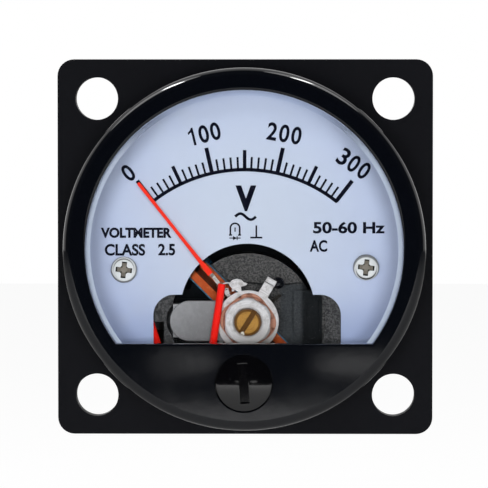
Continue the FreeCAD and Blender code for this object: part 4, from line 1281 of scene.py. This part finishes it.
@dataclass
class DialFace(Piece):
    """The dial plate with its opening, its lettering and its screws."""

    radius: float = 19.4
    front: float = -3.1
    rear: float = -2.5
    chord: float = -13.5
    # The round hole: its centre and radius. The lobes beside it: left, right, top and corner radius.
    hole: tuple[float, float, float] = (0.3, -7.68, 8.1)
    lobes: tuple[float, float, float, float] = (-11.0, 11.5, -5.7, 2.5)
    screw: Point = (14.5, -2.7)
    # The right screw sits a little higher, as in the photograph.
    right_screw_up: float = 0.3
    ink: float = 0.045
    scale_at: Point = (-0.05, -8.5)
    scale_r: float = 17.79
    scale_half: float = 38.05
    labels: list[Label] = field(default_factory=lambda: [
        Label("number_0", "0", (-14.0, 8.9), 2.15, 1.2, -38.0, 0.022),
        Label("number_100", "100", (-4.95, 13.55), 2.15, 1.2, -13.7, 0.022, 1.42),
        Label("number_200", "200", (4.7, 13.62), 2.15, 1.2, 10.0, 0.022, 1.47),
        Label("number_300", "300", (13.03, 10.0), 2.15, 1.2, 34.5, 0.022, 1.47),
        Label("unit_v", "V", (0.1, 5.85), 3.1, 2.5, 0.0, 0.05),
        Label("class_word", "CLASS", (-14.4, -0.33), 1.42, 4.85, 0.0, 0.032),
        Label("class_value", "2.5", (-9.4, -0.3), 1.42, 2.05, 0.0, 0.032),
        Label("use_word", "VOLTMETER", (-13.05, 1.72), 1.25, 8.5, 0.0, 0.045),
        Label("mains_word", "50-60 Hz", (12.45, 2.35), 1.42, 8.6, 0.0, 0.032),
        Label("kind_word", "AC", (8.8, 0.15), 1.42, 2.1, 0.0, 0.032),
    ])

    def plate(self) -> bpy.types.Object:
        """Cut the dial: round outside, straight foot, and the opening for the movement.

        Returns:
            The plate.
        """
        plate = Bench.rod("dial_sheet", self.radius, self.front, self.rear, sides=160)
        Bench.join_solid(plate, Bench.block("foot", (-30, -5, -30), (30, 0, self.chord)), Solid.CUT)
        left, right, top, r = self.lobes
        outline = [(left, -30.0)]
        for cx, start in ((left + r, 270), (right - r, 0)):
            outline += arc((cx, top - r), r, start, start + 90, 12)
        outline.append((right, -30.0))
        Bench.join_solid(plate, Bench.slab("lobes", outline, -5.0, 0.0), Solid.CUT)
        x, z, radius = self.hole
        Bench.drill(plate, radius, -5.0, 0.0, (x, z), 128)
        for hand in Hand:
            Bench.drill(plate, 0.9, -5.0, 0.0, (hand.value * self.screw[0], self.screw[1]), 32)
        Bench.round_edges(plate, 0.06, 2, 50.0)
        return plate

    def one(self, label: Label) -> bpy.types.Object:
        """Draw the digit 1 with its flag, centred on the origin.

        Args:
            label: The number that it belongs to.

        Returns:
            The digit.
        """
        h = label.height / 2
        outline = [(0.0, -h), (0.29, -h), (0.29, h), (0.08, h), (-0.1, h - 0.28), (-0.42, h - 0.5), (-0.42, h - 0.76),
                   (0.0, h - 0.52)]
        return Bench.slab("digit", outline, -self.ink / 2, self.ink / 2)

    def letter(self, label: Label) -> None:
        """Set one piece of lettering on the dial.

        Args:
            label: What it says and where.
        """
        if label.pitch:
            signs = []
            for i, digit in enumerate(label.words):
                sign = self.one(label) if digit == "1" else Bench.writing("digit", digit, label.height, label.width,
                                                                           label.heavy)
                move = (i - (len(label.words) - 1) / 2) * label.pitch
                sign.data.transform(Matrix.Translation((move * MM, 0.0, 0.0)))
                signs.append(sign)
            word = Bench.merge(label.name, signs)
        else:
            word = Bench.writing(label.name, label.words, label.height, label.width, label.heavy)
        Bench.turn(word, label.angle, (0.0, 0.0))
        word.data.transform(Matrix.Translation((label.at[0] * MM, (self.front - self.ink / 2) * MM, label.at[1] * MM)))
        self.hand_over(word, INK, "scale_ink", smooth=None)

    def scale(self) -> None:
        """Draw the scale line and its marks; each kind of mark is made once and copied round."""
        y0, y1 = self.front - self.ink, self.front
        x, z = self.scale_at
        half = self.scale_half + 0.55
        outline = arc(self.scale_at, self.scale_r + 0.21, -half, half, 48)
        outline += arc(self.scale_at, self.scale_r - 0.21, half, -half, 48)
        strokes = [Bench.slab("scale_line", outline, y0, y1)]
        kinds = {10: (20.9, 0.48), 5: (20.13, 0.42), 1: (19.32, 0.25)}
        made = {}
        for kind, (length, width) in kinds.items():
            low, high = (x - width / 2, y0, z + self.scale_r), (x + width / 2, y1, z + length)
            made[kind] = Bench.block("mark", low, high)
        for i in range(31):
            kind = 10 if i % 10 == 0 else 5 if i % 5 == 0 else 1
            mark = Bench.copy(made[kind], "mark_%d" % i)
            strokes.append(Bench.turn(mark, -self.scale_half + 2 * self.scale_half * i / 30, self.scale_at))
        for mark in made.values():
            bpy.data.objects.remove(mark)
        self.hand_over(Bench.merge("scale_print", strokes), INK, "scale_ink", ("dial_scale",), smooth=None)

    def wave(self) -> None:
        """Draw the alternating-current sign as one bent stroke."""
        upper, lower = [], []
        length, height, half = 2.5, 0.36, 0.165
        for step in range(25):
            t = step / 24
            x = length * (t - 0.5)
            z = height * math.sin(2 * math.pi * t)
            slope = height * 2 * math.pi / length * math.cos(2 * math.pi * t)
            n = math.hypot(1.0, slope)
            upper.append((x - half * slope / n, z + half / n))
            lower.append((x + half * slope / n, z - half / n))
        outline = [(x + 0.06, z + 3.66) for x, z in upper + lower[::-1]]
        sign = Bench.slab("wave_sign", outline, self.front - self.ink, self.front)
        self.hand_over(sign, INK, "scale_ink", smooth=None)

    def signs(self) -> None:
        """Draw the movement's sign and the sign of upright use."""
        y0, y1 = self.front - self.ink, self.front
        arch = [(-0.66, -0.35), *arc((0.0, 0.55), 0.66, -90.0, 90.0, 12), (0.66, -0.35), (0.46, -0.35)]
        arch += [*arc((0.0, 0.55), 0.46, 90.0, -90.0, 12), (-0.46, -0.35)]
        x, z = -1.2, 1.75
        strokes = [Bench.slab("arch", [(x + a, z + b) for a, b in arch], y0, y1)]
        bars = [(-0.72, -0.38, -0.36, -0.2), (0.36, -0.38, 0.72, -0.2), (-0.68, -0.72, 0.68, -0.6),
                (0.2, -0.9, 0.3, -0.42), (-0.07, 0.1, 0.07, 0.62)]
        for a, b, c, d in bars:
            strokes.append(Bench.block("bar", (x + a, y0, z + b), (x + c, y1, z + d)))
        strokes.append(Bench.slab("arrow", [(x - 0.24, z - 0.92), (x - 0.24, z - 0.4), (x + 0.2, z - 0.66)], y0, y1))
        self.hand_over(Bench.merge("rectifier_sign", strokes), INK, "scale_ink", smooth=None)
        x, z = 1.35, 1.85
        stem = Bench.block("stem", (x - 0.1, y0, z - 0.75), (x + 0.1, y1, z + 0.75))
        base = Bench.block("base", (x - 0.72, y0, z - 0.8), (x + 0.72, y1, z - 0.6))
        self.hand_over(Bench.merge("upright_sign", [stem, base]), INK, "scale_ink", smooth=None)

    def pan_screw(self, hand: Hand) -> None:
        """Make a pan head screw with a cross recess.

        Args:
            hand: Which of the two.
        """
        x, z = hand.value * self.screw[0], self.screw[1] + (self.right_screw_up if hand is Hand.RIGHT else 0.0)
        top = self.front - 1.0
        head = Bench.lathe("dial_screw_head_" + hand.word, [
            (0.0, 1.0), (0.8, 1.0), (0.8, self.front), (1.52, self.front), (1.56, self.front - 0.2),
            (1.56, top + 0.38), (1.5, top + 0.22), (1.36, top + 0.1), (1.1, top + 0.03), (0.7, top), (0.0, top)],
            (x, z), 64)
        for angle in (0.0, 90.0):
            wing = Bench.block("wing", (x - 0.33, top - 0.2, z - 1.2), (x + 0.33, top + 0.75, z + 1.2))
            wing = self._tapered(wing, (x, z), top + 0.75)
            Bench.join_solid(head, Bench.turn(wing, angle + 6.0, (x, z)), Solid.CUT)
        bowl = Bench.lathe("bowl", [(0.0, top - 0.1), (0.84, top - 0.1), (0.74, top + 0.1), (0.0, top + 0.75)],
                           (x, z), 4)
        Bench.join_solid(head, Bench.turn(bowl, 6.0, (x, z)), Solid.CUT)
        Bench.round_edges(head, 0.04, 2, 40.0)
        self.hand_over(head, CROSS, "nickel", ("dial_screw_" + hand.word,))

    @staticmethod
    def _tapered(wing: bpy.types.Object, centre: Point, deep: float) -> bpy.types.Object:
        """Narrow a wing of the cross recess towards its bottom.

        Args:
            wing: The wing's block.
            centre: The screw's axis.
            deep: Where the wing's bottom lies.

        Returns:
            The same object.
        """
        Bench.pick_none(wing)
        for vertex in wing.data.vertices:
            vertex.select = abs(vertex.co.y / MM - deep) < 0.01
        bpy.ops.object.mode_set(mode="EDIT")
        bpy.ops.transform.resize(value=(0.6, 1.0, 0.35), center_override=(centre[0] * MM, deep * MM, centre[1] * MM))
        bpy.ops.object.mode_set(mode="OBJECT")
        return wing

    def build(self) -> None:
        """Make and dress the dial with all that is on it."""
        self.hand_over(self.plate(), DIAL, "dial_paint", ("dial_plate",))
        for label in self.labels:
            self.letter(label)
        self.scale()
        self.wave()
        self.signs()
        for hand in Hand:
            self.pan_screw(hand)


@dataclass
class Adjuster(Piece):
    """The zero adjuster's slotted head, shaft and eccentric pin."""

    body: str = "adjuster"
    centre: Point = (-0.05, -15.75)
    radius: float = 3.3
    face: float = -10.92
    slot: tuple[float, float] = (1.1, 4.6)
    tilt: float = -3.75
    throw: float = 0.6
    pivot: Point = (0.35, -8.85)

    def build(self) -> None:
        """Make and dress the adjuster."""
        f, r = self.face, self.radius
        dome = [(r * s, f + 0.16 * s * s) for s in (1.0, 0.96, 0.88, 0.76, 0.62, 0.48, 0.34, 0.2, 0.1)]
        profile = [(0.0, -7.1), (1.5, -7.1), (1.5, f + 1.0), (r, f + 1.0)]
        head = Bench.lathe("adjuster_head", profile + dome + [(0.0, f)], self.centre, 128)
        x, z = self.centre
        w, h = self.slot[0] / 2, self.slot[1] / 2
        slot = Bench.block("slot", (x - w, f - 1, z - h), (x + w, f + 0.75, z + h))
        Bench.join_solid(head, Bench.turn(slot, self.tilt, self.centre), Solid.CUT)
        Bench.round_edges(head, 0.02, 2, 50.0)
        dx, dz = x - self.pivot[0], z - self.pivot[1]
        far = self.throw / math.hypot(dx, dz)
        pin = Bench.rod("pin", 0.45, -7.3, -3.2, (x + dx * far, z + dz * far), 32)
        self.hand_over(Bench.merge("adjuster_head", [head, pin]), KNOB, "bezel_plastic", ("zero_adjuster",))


@dataclass
class Stack(Piece):
    """What is seen round the pivot: jewel screw, lock nut, friction washer and zero lever."""

    centre: Point = (0.35, -8.85)
    screw_r: float = 1.65
    screw_face: float = -6.4
    slot: float = 0.6
    slot_turn: float = 32.5
    nut_flats: float = 5.4
    nut: tuple[float, float] = (-5.9, -4.1)
    washer: tuple[float, float] = (-4.1, -3.85)
    # The washer's mean radius, how far its rim swells, and the phase of its four swells.
    wave: tuple[float, float, float] = (3.2, 0.2, 0.5)

    def jewel_screw(self) -> None:
        """Make the brass jewel screw with its slot."""
        f, r = self.screw_face, self.screw_r
        profile = [(0.0, -2.9), (r - 0.02, -2.9), (r - 0.02, f + 0.34), (r - 0.1, f + 0.14), (r - 0.28, f + 0.04),
                   (1.28, f + 0.02), (1.22, f), (0.6, f), (0.0, f)]
        screw = Bench.lathe("jewel_screw_front", profile, self.centre, 96)
        x, z = self.centre
        slot = Bench.block("slot", (x - self.slot / 2, f - 1, z - 3), (x + self.slot / 2, f + 1.3, z + 3))
        Bench.join_solid(screw, Bench.turn(slot, self.slot_turn, self.centre), Solid.CUT)
        Bench.drill(screw, 0.76, -3.9, -2.0, self.centre, 32)
        Bench.round_edges(screw, 0.05, 2, 50.0)
        self.hand_over(screw, BRASS, "brass", ("front_jewel_screw",))

    def lock_nut(self) -> None:
        """Make the hexagon nut with its turned chamfer."""
        tip = self.nut_flats / math.sqrt(3)
        y0, y1 = self.nut
        nut = Bench.slab("lock_nut_front", arc(self.centre, tip, 2.0, 302.0, 5), y0, y1)
        cone = Bench.lathe("cone", [(0.0, y1 + 0.1), (2.86, y1 + 0.1), (2.86, y0 + 0.3), (2.64, y0 + 0.04),
                                    (2.6, y0), (0.0, y0)], self.centre, 96)
        Bench.join_solid(nut, cone, Solid.KEEP)
        bore = Bench.lathe("bore", [(0.0, y0 - 1), (self.screw_r + 0.22, y0 - 1), (self.screw_r + 0.22, y0),
                                    (self.screw_r + 0.01, y0 + 0.2), (self.screw_r + 0.01, y1 + 1), (0.0, y1 + 1)],
                           self.centre, 96)
        Bench.join_solid(nut, bore, Solid.CUT)
        Bench.round_edges(nut, 0.05, 2, 25.0)
        self.hand_over(nut, NICKEL, "nickel", ("front_lock_nut",))

    def friction_washer(self) -> None:
        """Make the wavy washer: a ring whose rim swells four times."""
        y0, y1 = self.washer
        x, z = self.centre
        mean, swell, phase = self.wave
        outline = []
        for step in range(120):
            a = math.radians(3 * step)
            r = mean + swell * math.cos(4 * a - phase)
            outline.append((x + r * math.sin(a), z + r * math.cos(a)))
        washer = Bench.slab("friction_washer_wavy", outline, y0, y1)
        Bench.drill(washer, 1.66, y0 - 1, y1 + 1, self.centre)
        Bench.round_edges(washer, 0.06, 2, 40.0)
        self.hand_over(washer, BRONZE, "bronze", ("friction_washer",))

    def build(self) -> None:
        """Make and dress the stack."""
        self.jewel_screw()
        self.lock_nut()
        self.friction_washer()


@dataclass
class ZeroArm(Piece):
    """The zero lever with its tab, ear and fork."""

    body: str = "zero_arm"
    centre: Point = (0.35, -8.85)
    plate: tuple[float, float] = (-3.85, -3.6)
    radius: float = 3.7
    fork: float = 183.3
    tab: float = 30.0
    # The bead: its angle, its distance from the pivot and its radius.
    bead: tuple[float, float, float] = (38.5, 5.85, 0.7)

    def _bar(self, low: Place, high: Place,
             angle: float) -> bpy.types.Object:
        """A bar measured from the pivot, before and after its turn.

        Args:
            low: Its low corner from the pivot.
            high: Its high corner from the pivot.
            angle: Its turn in degrees.

        Returns:
            The bar.
        """
        x, z = self.centre
        bar = Bench.block("bar", (low[0] + x, low[1], low[2] + z), (high[0] + x, high[1], high[2] + z))
        return Bench.turn(bar, angle, self.centre)

    def build(self) -> None:
        """Make and dress the lever and its bead."""
        y0, y1 = self.plate
        x, z = self.centre
        disc = Bench.rod("zero_lever_pressing", self.radius, y0, y1, self.centre, 128)
        Bench.drill(disc, 1.72, y0 - 1, y1 + 1, self.centre)
        prongs = [(-1.15, 2.5), (-1.15, 8.4), (-0.55, 8.4), (-0.55, 6.2), (0.55, 6.2), (0.55, 8.4), (1.15, 8.4),
                  (1.15, 2.5)]
        tail = Bench.slab("tail", [(x + a, z + b) for a, b in prongs], y0 + 0.004, y1 - 0.004)
        Bench.turn(tail, self.fork, self.centre)
        ear = [(-0.95, 3.4), (-1.95, 3.95), (-2.25, 4.35), (-2.2, 4.62), (-1.89, 4.95), (-1.3, 5.1), (-0.76, 4.97),
               (-0.5, 4.7), (-0.04, 4.52), (-0.24, 4.28), (-0.83, 4.12), (-0.72, 3.4)]
        lug = Bench.slab("lug", [(x + a, z + b) for a, b in ear], y0 + 0.006, y1 - 0.006)
        bars = [self._bar((-0.64, y0 + 0.008, 3.2), (0.64, y1 - 0.008, 5.2), self.tab),
                self._bar((-0.64, y0 - 0.55, 5.05), (0.64, y1 - 0.01, 5.3), self.tab),
                self._bar((-0.63, y0 - 0.55, 5.1), (0.63, y0 - 0.3, 5.86), self.tab),
                self._bar((-0.85, y1 - 0.05, 3.92), (-0.55, y1 + 1.17, 4.2), -16.0)]
        whole = Bench.merge("zero_lever_pressing", [disc, tail, lug, *bars])
        Bench.round_edges(whole, 0.05, 2, 50.0)
        self.hand_over(whole, NICKEL, "nickel", ("zero_lever",))
        angle, reach, radius = self.bead
        a = math.radians(angle)
        front = y0 - 0.3
        ball = [(radius * math.sin(math.radians(t)), front + 0.45 - 0.45 * math.cos(math.radians(t)))
                for t in range(0, 181, 15)]
        bead = Bench.lathe("stop_bead_round", ball, (x + reach * math.sin(a), z + reach * math.cos(a)), 48)
        self.hand_over(bead, PITCH, "component_black", ("stop_bead",))
        self.bare_wire()

    def bare_wire(self) -> None:
        """Make the bare end of the lead: it bows over to the ear, with a few loose turns beside it."""
        y = self.plate[0] - 0.2
        x, z = self.centre
        bow = [(-3.35, y + 0.1, 4.2), (-3.1, y - 0.05, 4.42), (-2.75, y - 0.1, 4.58), (-2.35, y - 0.08, 4.62),
               (-1.95, y, 4.55), (-1.75, y + 0.17, 4.45)]
        wire = Bench.wire("bare_wire", [(x + a, b, z + c) for a, b, c in bow], 0.09)
        self.hand_over(wire, NICKEL, "nickel")
        turns = []
        for step in range(37):
            a = 2 * math.pi * step / 12
            turns.append((x - 2.6 + 0.24 * math.cos(a) + 0.2 * step / 36, y + 0.1 + 0.1 * math.sin(a),
                          z + 3.85 - 0.65 * step / 36 + 0.12 * math.sin(a)))
        self.hand_over(Bench.wire("loose_turns", turns, 0.07), NICKEL, "nickel")


@dataclass
class Terminals(Piece):
    """The threaded studs at the back with their nuts and washers."""

    spread: float = 10.0
    radius: float = 2.0
    pitch: float = 0.7
    thread_from: float = 23.7
    end: float = 36.0
    # The plain lead end starts here, with the crest and root of the faint thread left on it.
    lead_from: float = 30.0
    lead_crest: float = 1.59
    lead_root: float = 1.5

    def stud(self, hand: Hand) -> None:
        """Make a stud with a thread cut along its free length.

        Args:
            hand: Which of the two.
        """
        x = hand.value * self.spread
        profile = [(0.0, 19.6), (self.radius - 0.02, 19.6), (self.radius - 0.02, self.thread_from)]
        y = self.thread_from
        while y + self.pitch < self.end - 0.35:
            crest, root = self.radius - 0.01, self.radius - 0.34
            if y + self.pitch >= self.lead_from:
                crest, root = self.lead_crest, self.lead_root
            profile += [(root, y + self.pitch * 0.45), (root, y + self.pitch * 0.55),
                        (crest, y + self.pitch * 0.94), (crest, y + self.pitch)]
            y += self.pitch
        profile += [(self.radius - 0.9, self.end), (0.0, self.end)]
        stud = Bench.lathe("stud_thread_" + hand.word, profile, (x, 0.0), 56)
        head = Bench.slab("head", arc((x, 0.0), 3.75, 0.0, 300.0, 5), 17.0, 20.0)
        self.hand_over(Bench.merge("stud_" + hand.word, [stud, head]), TERMINAL, "brass_plated",
                       ("terminal_stud_" + hand.word,))

    def nut(self, hand: Hand, name: str, y0: float, turn: float) -> None:
        """Make a nut with both faces chamfered.

        Args:
            hand: Which side.
            name: The CAD node that it replaces.
            y0: Its front face.
            turn: Its turn in degrees.
        """
        x = hand.value * self.spread
        tip = 7.0 / math.sqrt(3)
        y1 = y0 + 2.6
        nut = Bench.slab(name + "_cut", arc((x, 0.0), tip, turn, turn + 300.0, 5), y0, y1)
        cone = Bench.lathe("cone", [(0.0, y0), (3.45, y0), (tip + 0.1, y0 + 0.4), (tip + 0.1, y1 - 0.4), (3.45, y1),
                                    (0.0, y1)], (x, 0.0), 64)
        Bench.join_solid(nut, cone, Solid.KEEP)
        bore = Bench.lathe("bore", [(0.0, y0 - 1), (2.3, y0 - 1), (2.3, y0), (2.02, y0 + 0.25), (2.02, y1 - 0.25),
                                    (2.3, y1), (2.3, y1 + 0.4), (0.0, y1 + 0.4)], (x, 0.0), 64)
        Bench.join_solid(nut, bore, Solid.CUT)
        self.hand_over(nut, TERMINAL, "brass_plated", (name,))

    def build(self) -> None:
        """Make and dress the terminals."""
        for hand in Hand:
            self.stud(hand)
            self.nut(hand, "clamp_nut_" + hand.word, 23.7, 8.0 * hand.value)
            self.nut(hand, "terminal_nut_" + hand.word, 27.1, 21.0 * hand.value)


@dataclass
class KeptNodes:
    """The CAD nodes that stay as they are, each with its finish."""

    finishes: dict[str, Finish] = field(default_factory=lambda: {
        "frame_screw": SCREW, "bridge_screw": SCREW, "movement_frame": FRAME,
        "yoke_ring": IRON, "core_carrier": CAP, "core_magnet": IRON, "front_bridge": BRIDGE,
        "rear_bridge": BRIDGE, "rear_jewel_screw": BRASS, "front_jewel": RUBY,
        "rear_jewel": RUBY, "rear_lock_nut": NICKEL, "coil_former": FOIL, "coil_winding": COPPER,
        "front_staff": SCREW, "rear_staff": SCREW, "pointer_arm": STRIP, "pointer": RED_PAINT,
        "balance_weight": BRONZE, "front_hairspring": BRONZE, "rear_hairspring": BRONZE, "spring_tag": NICKEL,
        "adjuster_clip": NICKEL, "terminal_washer": TERMINAL, "spring_washer": NICKEL,
        "circuit_board": BOARD, "rectifier": BLACK, "series_resistor": LACQUER, "coil_lead": RED_SLEEVE,
        "return_lead": DARK_SLEEVE,
    })

    def dress(self, nodes: dict[str, bpy.types.Object]) -> None:
        """Give every node that is still shown its finish.

        Args:
            nodes: The frame's nodes by name.
        """
        for name, node in sorted(nodes.items()):
            if node.hide_render:
                continue
            finish = self.finishes.get(name)
            if finish is None:
                matches = [key for key in self.finishes if name.startswith(key)]
                finish = self.finishes[max(matches, key=len)]
            node.data.materials.clear()
            node.data.materials.append(finish.material())
            LOG.info("kept %s in %s", name, finish.name)


# ---- the studio ----


@dataclass
class Studio:
    """The pale floor, the soft lamps, the surroundings and the camera."""

    target: Place = (-0.17, 0.0, 0.26)
    azimuth: float = 0.8
    elevation: float = 2.2
    distance: float = 400.0
    lens: float = 244.3

    def lamp(self, name: str, place: Place, aim: Place,
             size: Point, power: float, lights: Lights) -> None:
        """Add a lamp.

        Args:
            name: Its name.
            place: Its centre in millimetres.
            aim: What it points at, in millimetres.
            size: Its width and height in millimetres.
            power: Its power in watts.
            lights: Whether it shows in reflections only, lights matt faces only, or both.
        """
        data = bpy.data.lights.new(name, "AREA")
        data.shape = "RECTANGLE" if lights is Lights.MATT else "ELLIPSE"
        data.size, data.size_y = size[0] * MM, size[1] * MM
        data.energy = power
        lamp = bpy.data.objects.new(name, data)
        bpy.context.scene.collection.objects.link(lamp)
        lamp.location = Vector(place) * MM
        lamp.rotation_euler = (Vector(aim) - Vector(place)).to_track_quat("-Z", "Y").to_euler()
        lamp.visible_glossy = lights is not Lights.MATT
        lamp.visible_diffuse = lights is not Lights.GLOSS

    def floor(self) -> None:
        """Lay a plain pale floor under the meter."""
        floor = Bench.start("floor", bpy.ops.mesh.primitive_plane_add, size=1.0, location=(0.0, 0.31, -0.06))
        floor.scale = (2.4, 1.58, 1.0)
        made = bpy.data.materials.new("floor_paper")
        made.use_nodes = True
        web = Web(made.node_tree)
        paper = web.node("ShaderNodeBsdfDiffuse", None, {"Color": (0.9, 0.9, 0.9, 1.0)}).outputs[0]
        glow = web.node("ShaderNodeEmission", None, {"Color": (1.0, 1.0, 1.0, 1.0), "Strength": 1.1}).outputs[0]
        rays = web.node("ShaderNodeLightPath")
        seen = Value(web, rays.outputs["Is Camera Ray"]).at_least(Value(web, rays.outputs["Is Transmission Ray"]))
        plain = web.node("ShaderNodeMixShader", None, {0: seen * 0.85, 1: paper, 2: glow}).outputs[0]
        out = web.node("ShaderNodeOutputMaterial")
        made.node_tree.links.new(plain, out.inputs["Surface"])
        floor.data.materials.append(made)

    def surroundings(self) -> None:
        """White behind and at the sides; the room behind the camera is dark, as gloss shows it."""
        world = bpy.data.worlds.new("studio")
        bpy.context.scene.world = world
        world.use_nodes = True
        web = Web(world.node_tree)
        way = web.node("ShaderNodeTexCoord").outputs["Generated"]
        outs = web.node("ShaderNodeSeparateXYZ", None, {0: way}).outputs
        facing = Value(web, outs[1]) * -1.0
        rays = web.node("ShaderNodeLightPath")
        glossy = Value(web, rays.outputs["Is Glossy Ray"])
        rise = Value(web, outs[2])
        table = rise.ramp(-0.109, -0.114) * rise.ramp(-0.36, -0.26) * facing.ramp(0.8, 0.9)
        room = facing.ramp(0.95, 0.6) * (0.12 - glossy * 0.085) + 0.005 + table * glossy * 0.5
        seen = Value(web, rays.outputs["Is Camera Ray"]).at_least(Value(web, rays.outputs["Is Transmission Ray"]))
        behind = glossy * facing.ramp(0.1, -0.2)
        white = seen.at_least(behind)
        strength = white + (1.0 - white) * room
        glow = web.node("ShaderNodeBackground", None, {"Color": (1.0, 1.0, 1.0, 1.0), "Strength": strength})
        out = web.node("ShaderNodeOutputWorld")
        world.node_tree.links.new(glow.outputs[0], out.inputs["Surface"])

    def camera(self) -> None:
        """Place the camera as the photograph has it."""
        a, e = math.radians(self.azimuth), math.radians(self.elevation)
        away = Vector((math.sin(a) * math.cos(e), -math.cos(a) * math.cos(e), math.sin(e)))
        data = bpy.data.cameras.new("camera")
        data.lens = self.lens
        data.sensor_width = 36.0
        data.clip_start = 0.01
        data.clip_end = 10.0
        camera = bpy.data.objects.new("camera", data)
        bpy.context.scene.collection.objects.link(camera)
        camera.location = (Vector(self.target) + away * self.distance) * MM
        camera.rotation_euler = (-away).to_track_quat("-Z", "Y").to_euler()
        bpy.context.scene.camera = camera

    def build(self) -> None:
        """Set up the whole studio."""
        bpy.context.scene.view_settings.view_transform = "Standard"
        self.floor()
        self.surroundings()
        self.camera()
        middle = (0.0, 0.0, 0.0)
        gloss, matt, both = Lights.GLOSS, Lights.MATT, Lights.ALL
        lamps = (
            ("lamp_upper_left", (-215.0, -55.0, 463.0), middle, (170.0, 60.0), 1.0, gloss),
            ("glow_upper_left", (-283.0, -30.0, 437.0), middle, (240.0, 330.0), 0.8, both),
            ("lamp_upper_right", (168.0, -55.0, 489.0), middle, (170.0, 56.0), 0.75, gloss),
            ("glow_upper_right", (205.0, -30.0, 478.0), middle, (240.0, 330.0), 0.8, both),
            ("lamp_front_left", (-120.0, -660.0, 10.0), middle, (170.0, 120.0), 2.25, matt),
            ("lamp_front_right", (120.0, -660.0, 10.0), middle, (170.0, 120.0), 2.1, matt),
            ("lamp_front_top", (0.0, -640.0, 250.0), middle, (260.0, 120.0), 0.9, matt),
            ("card_left", (-16.5, -311.0, -35.5), (-9.5, -11.0, -14.0), (14.0, 4.0), 0.0002, gloss),
            ("card_right", (18.8, -311.0, -35.9), (10.7, -11.0, -14.0), (17.0, 4.5), 0.0003, gloss),
        )
        for lamp in lamps:
            self.lamp(*lamp)


def main() -> None:
    """Load the frame, build the meter on it and set up the studio."""
    logging.basicConfig(level=logging.INFO, format="%(name)s %(message)s")
    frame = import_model()
    for part in (Case(), Bezel(), DialFace(), Adjuster(), Stack(), ZeroArm(), Terminals()):
        LOG.info("building %s", type(part).__name__)
        part.build()
    KeptNodes().dress(frame["nodes"])
    Studio().build()


if __name__ == "__main__":
    main()
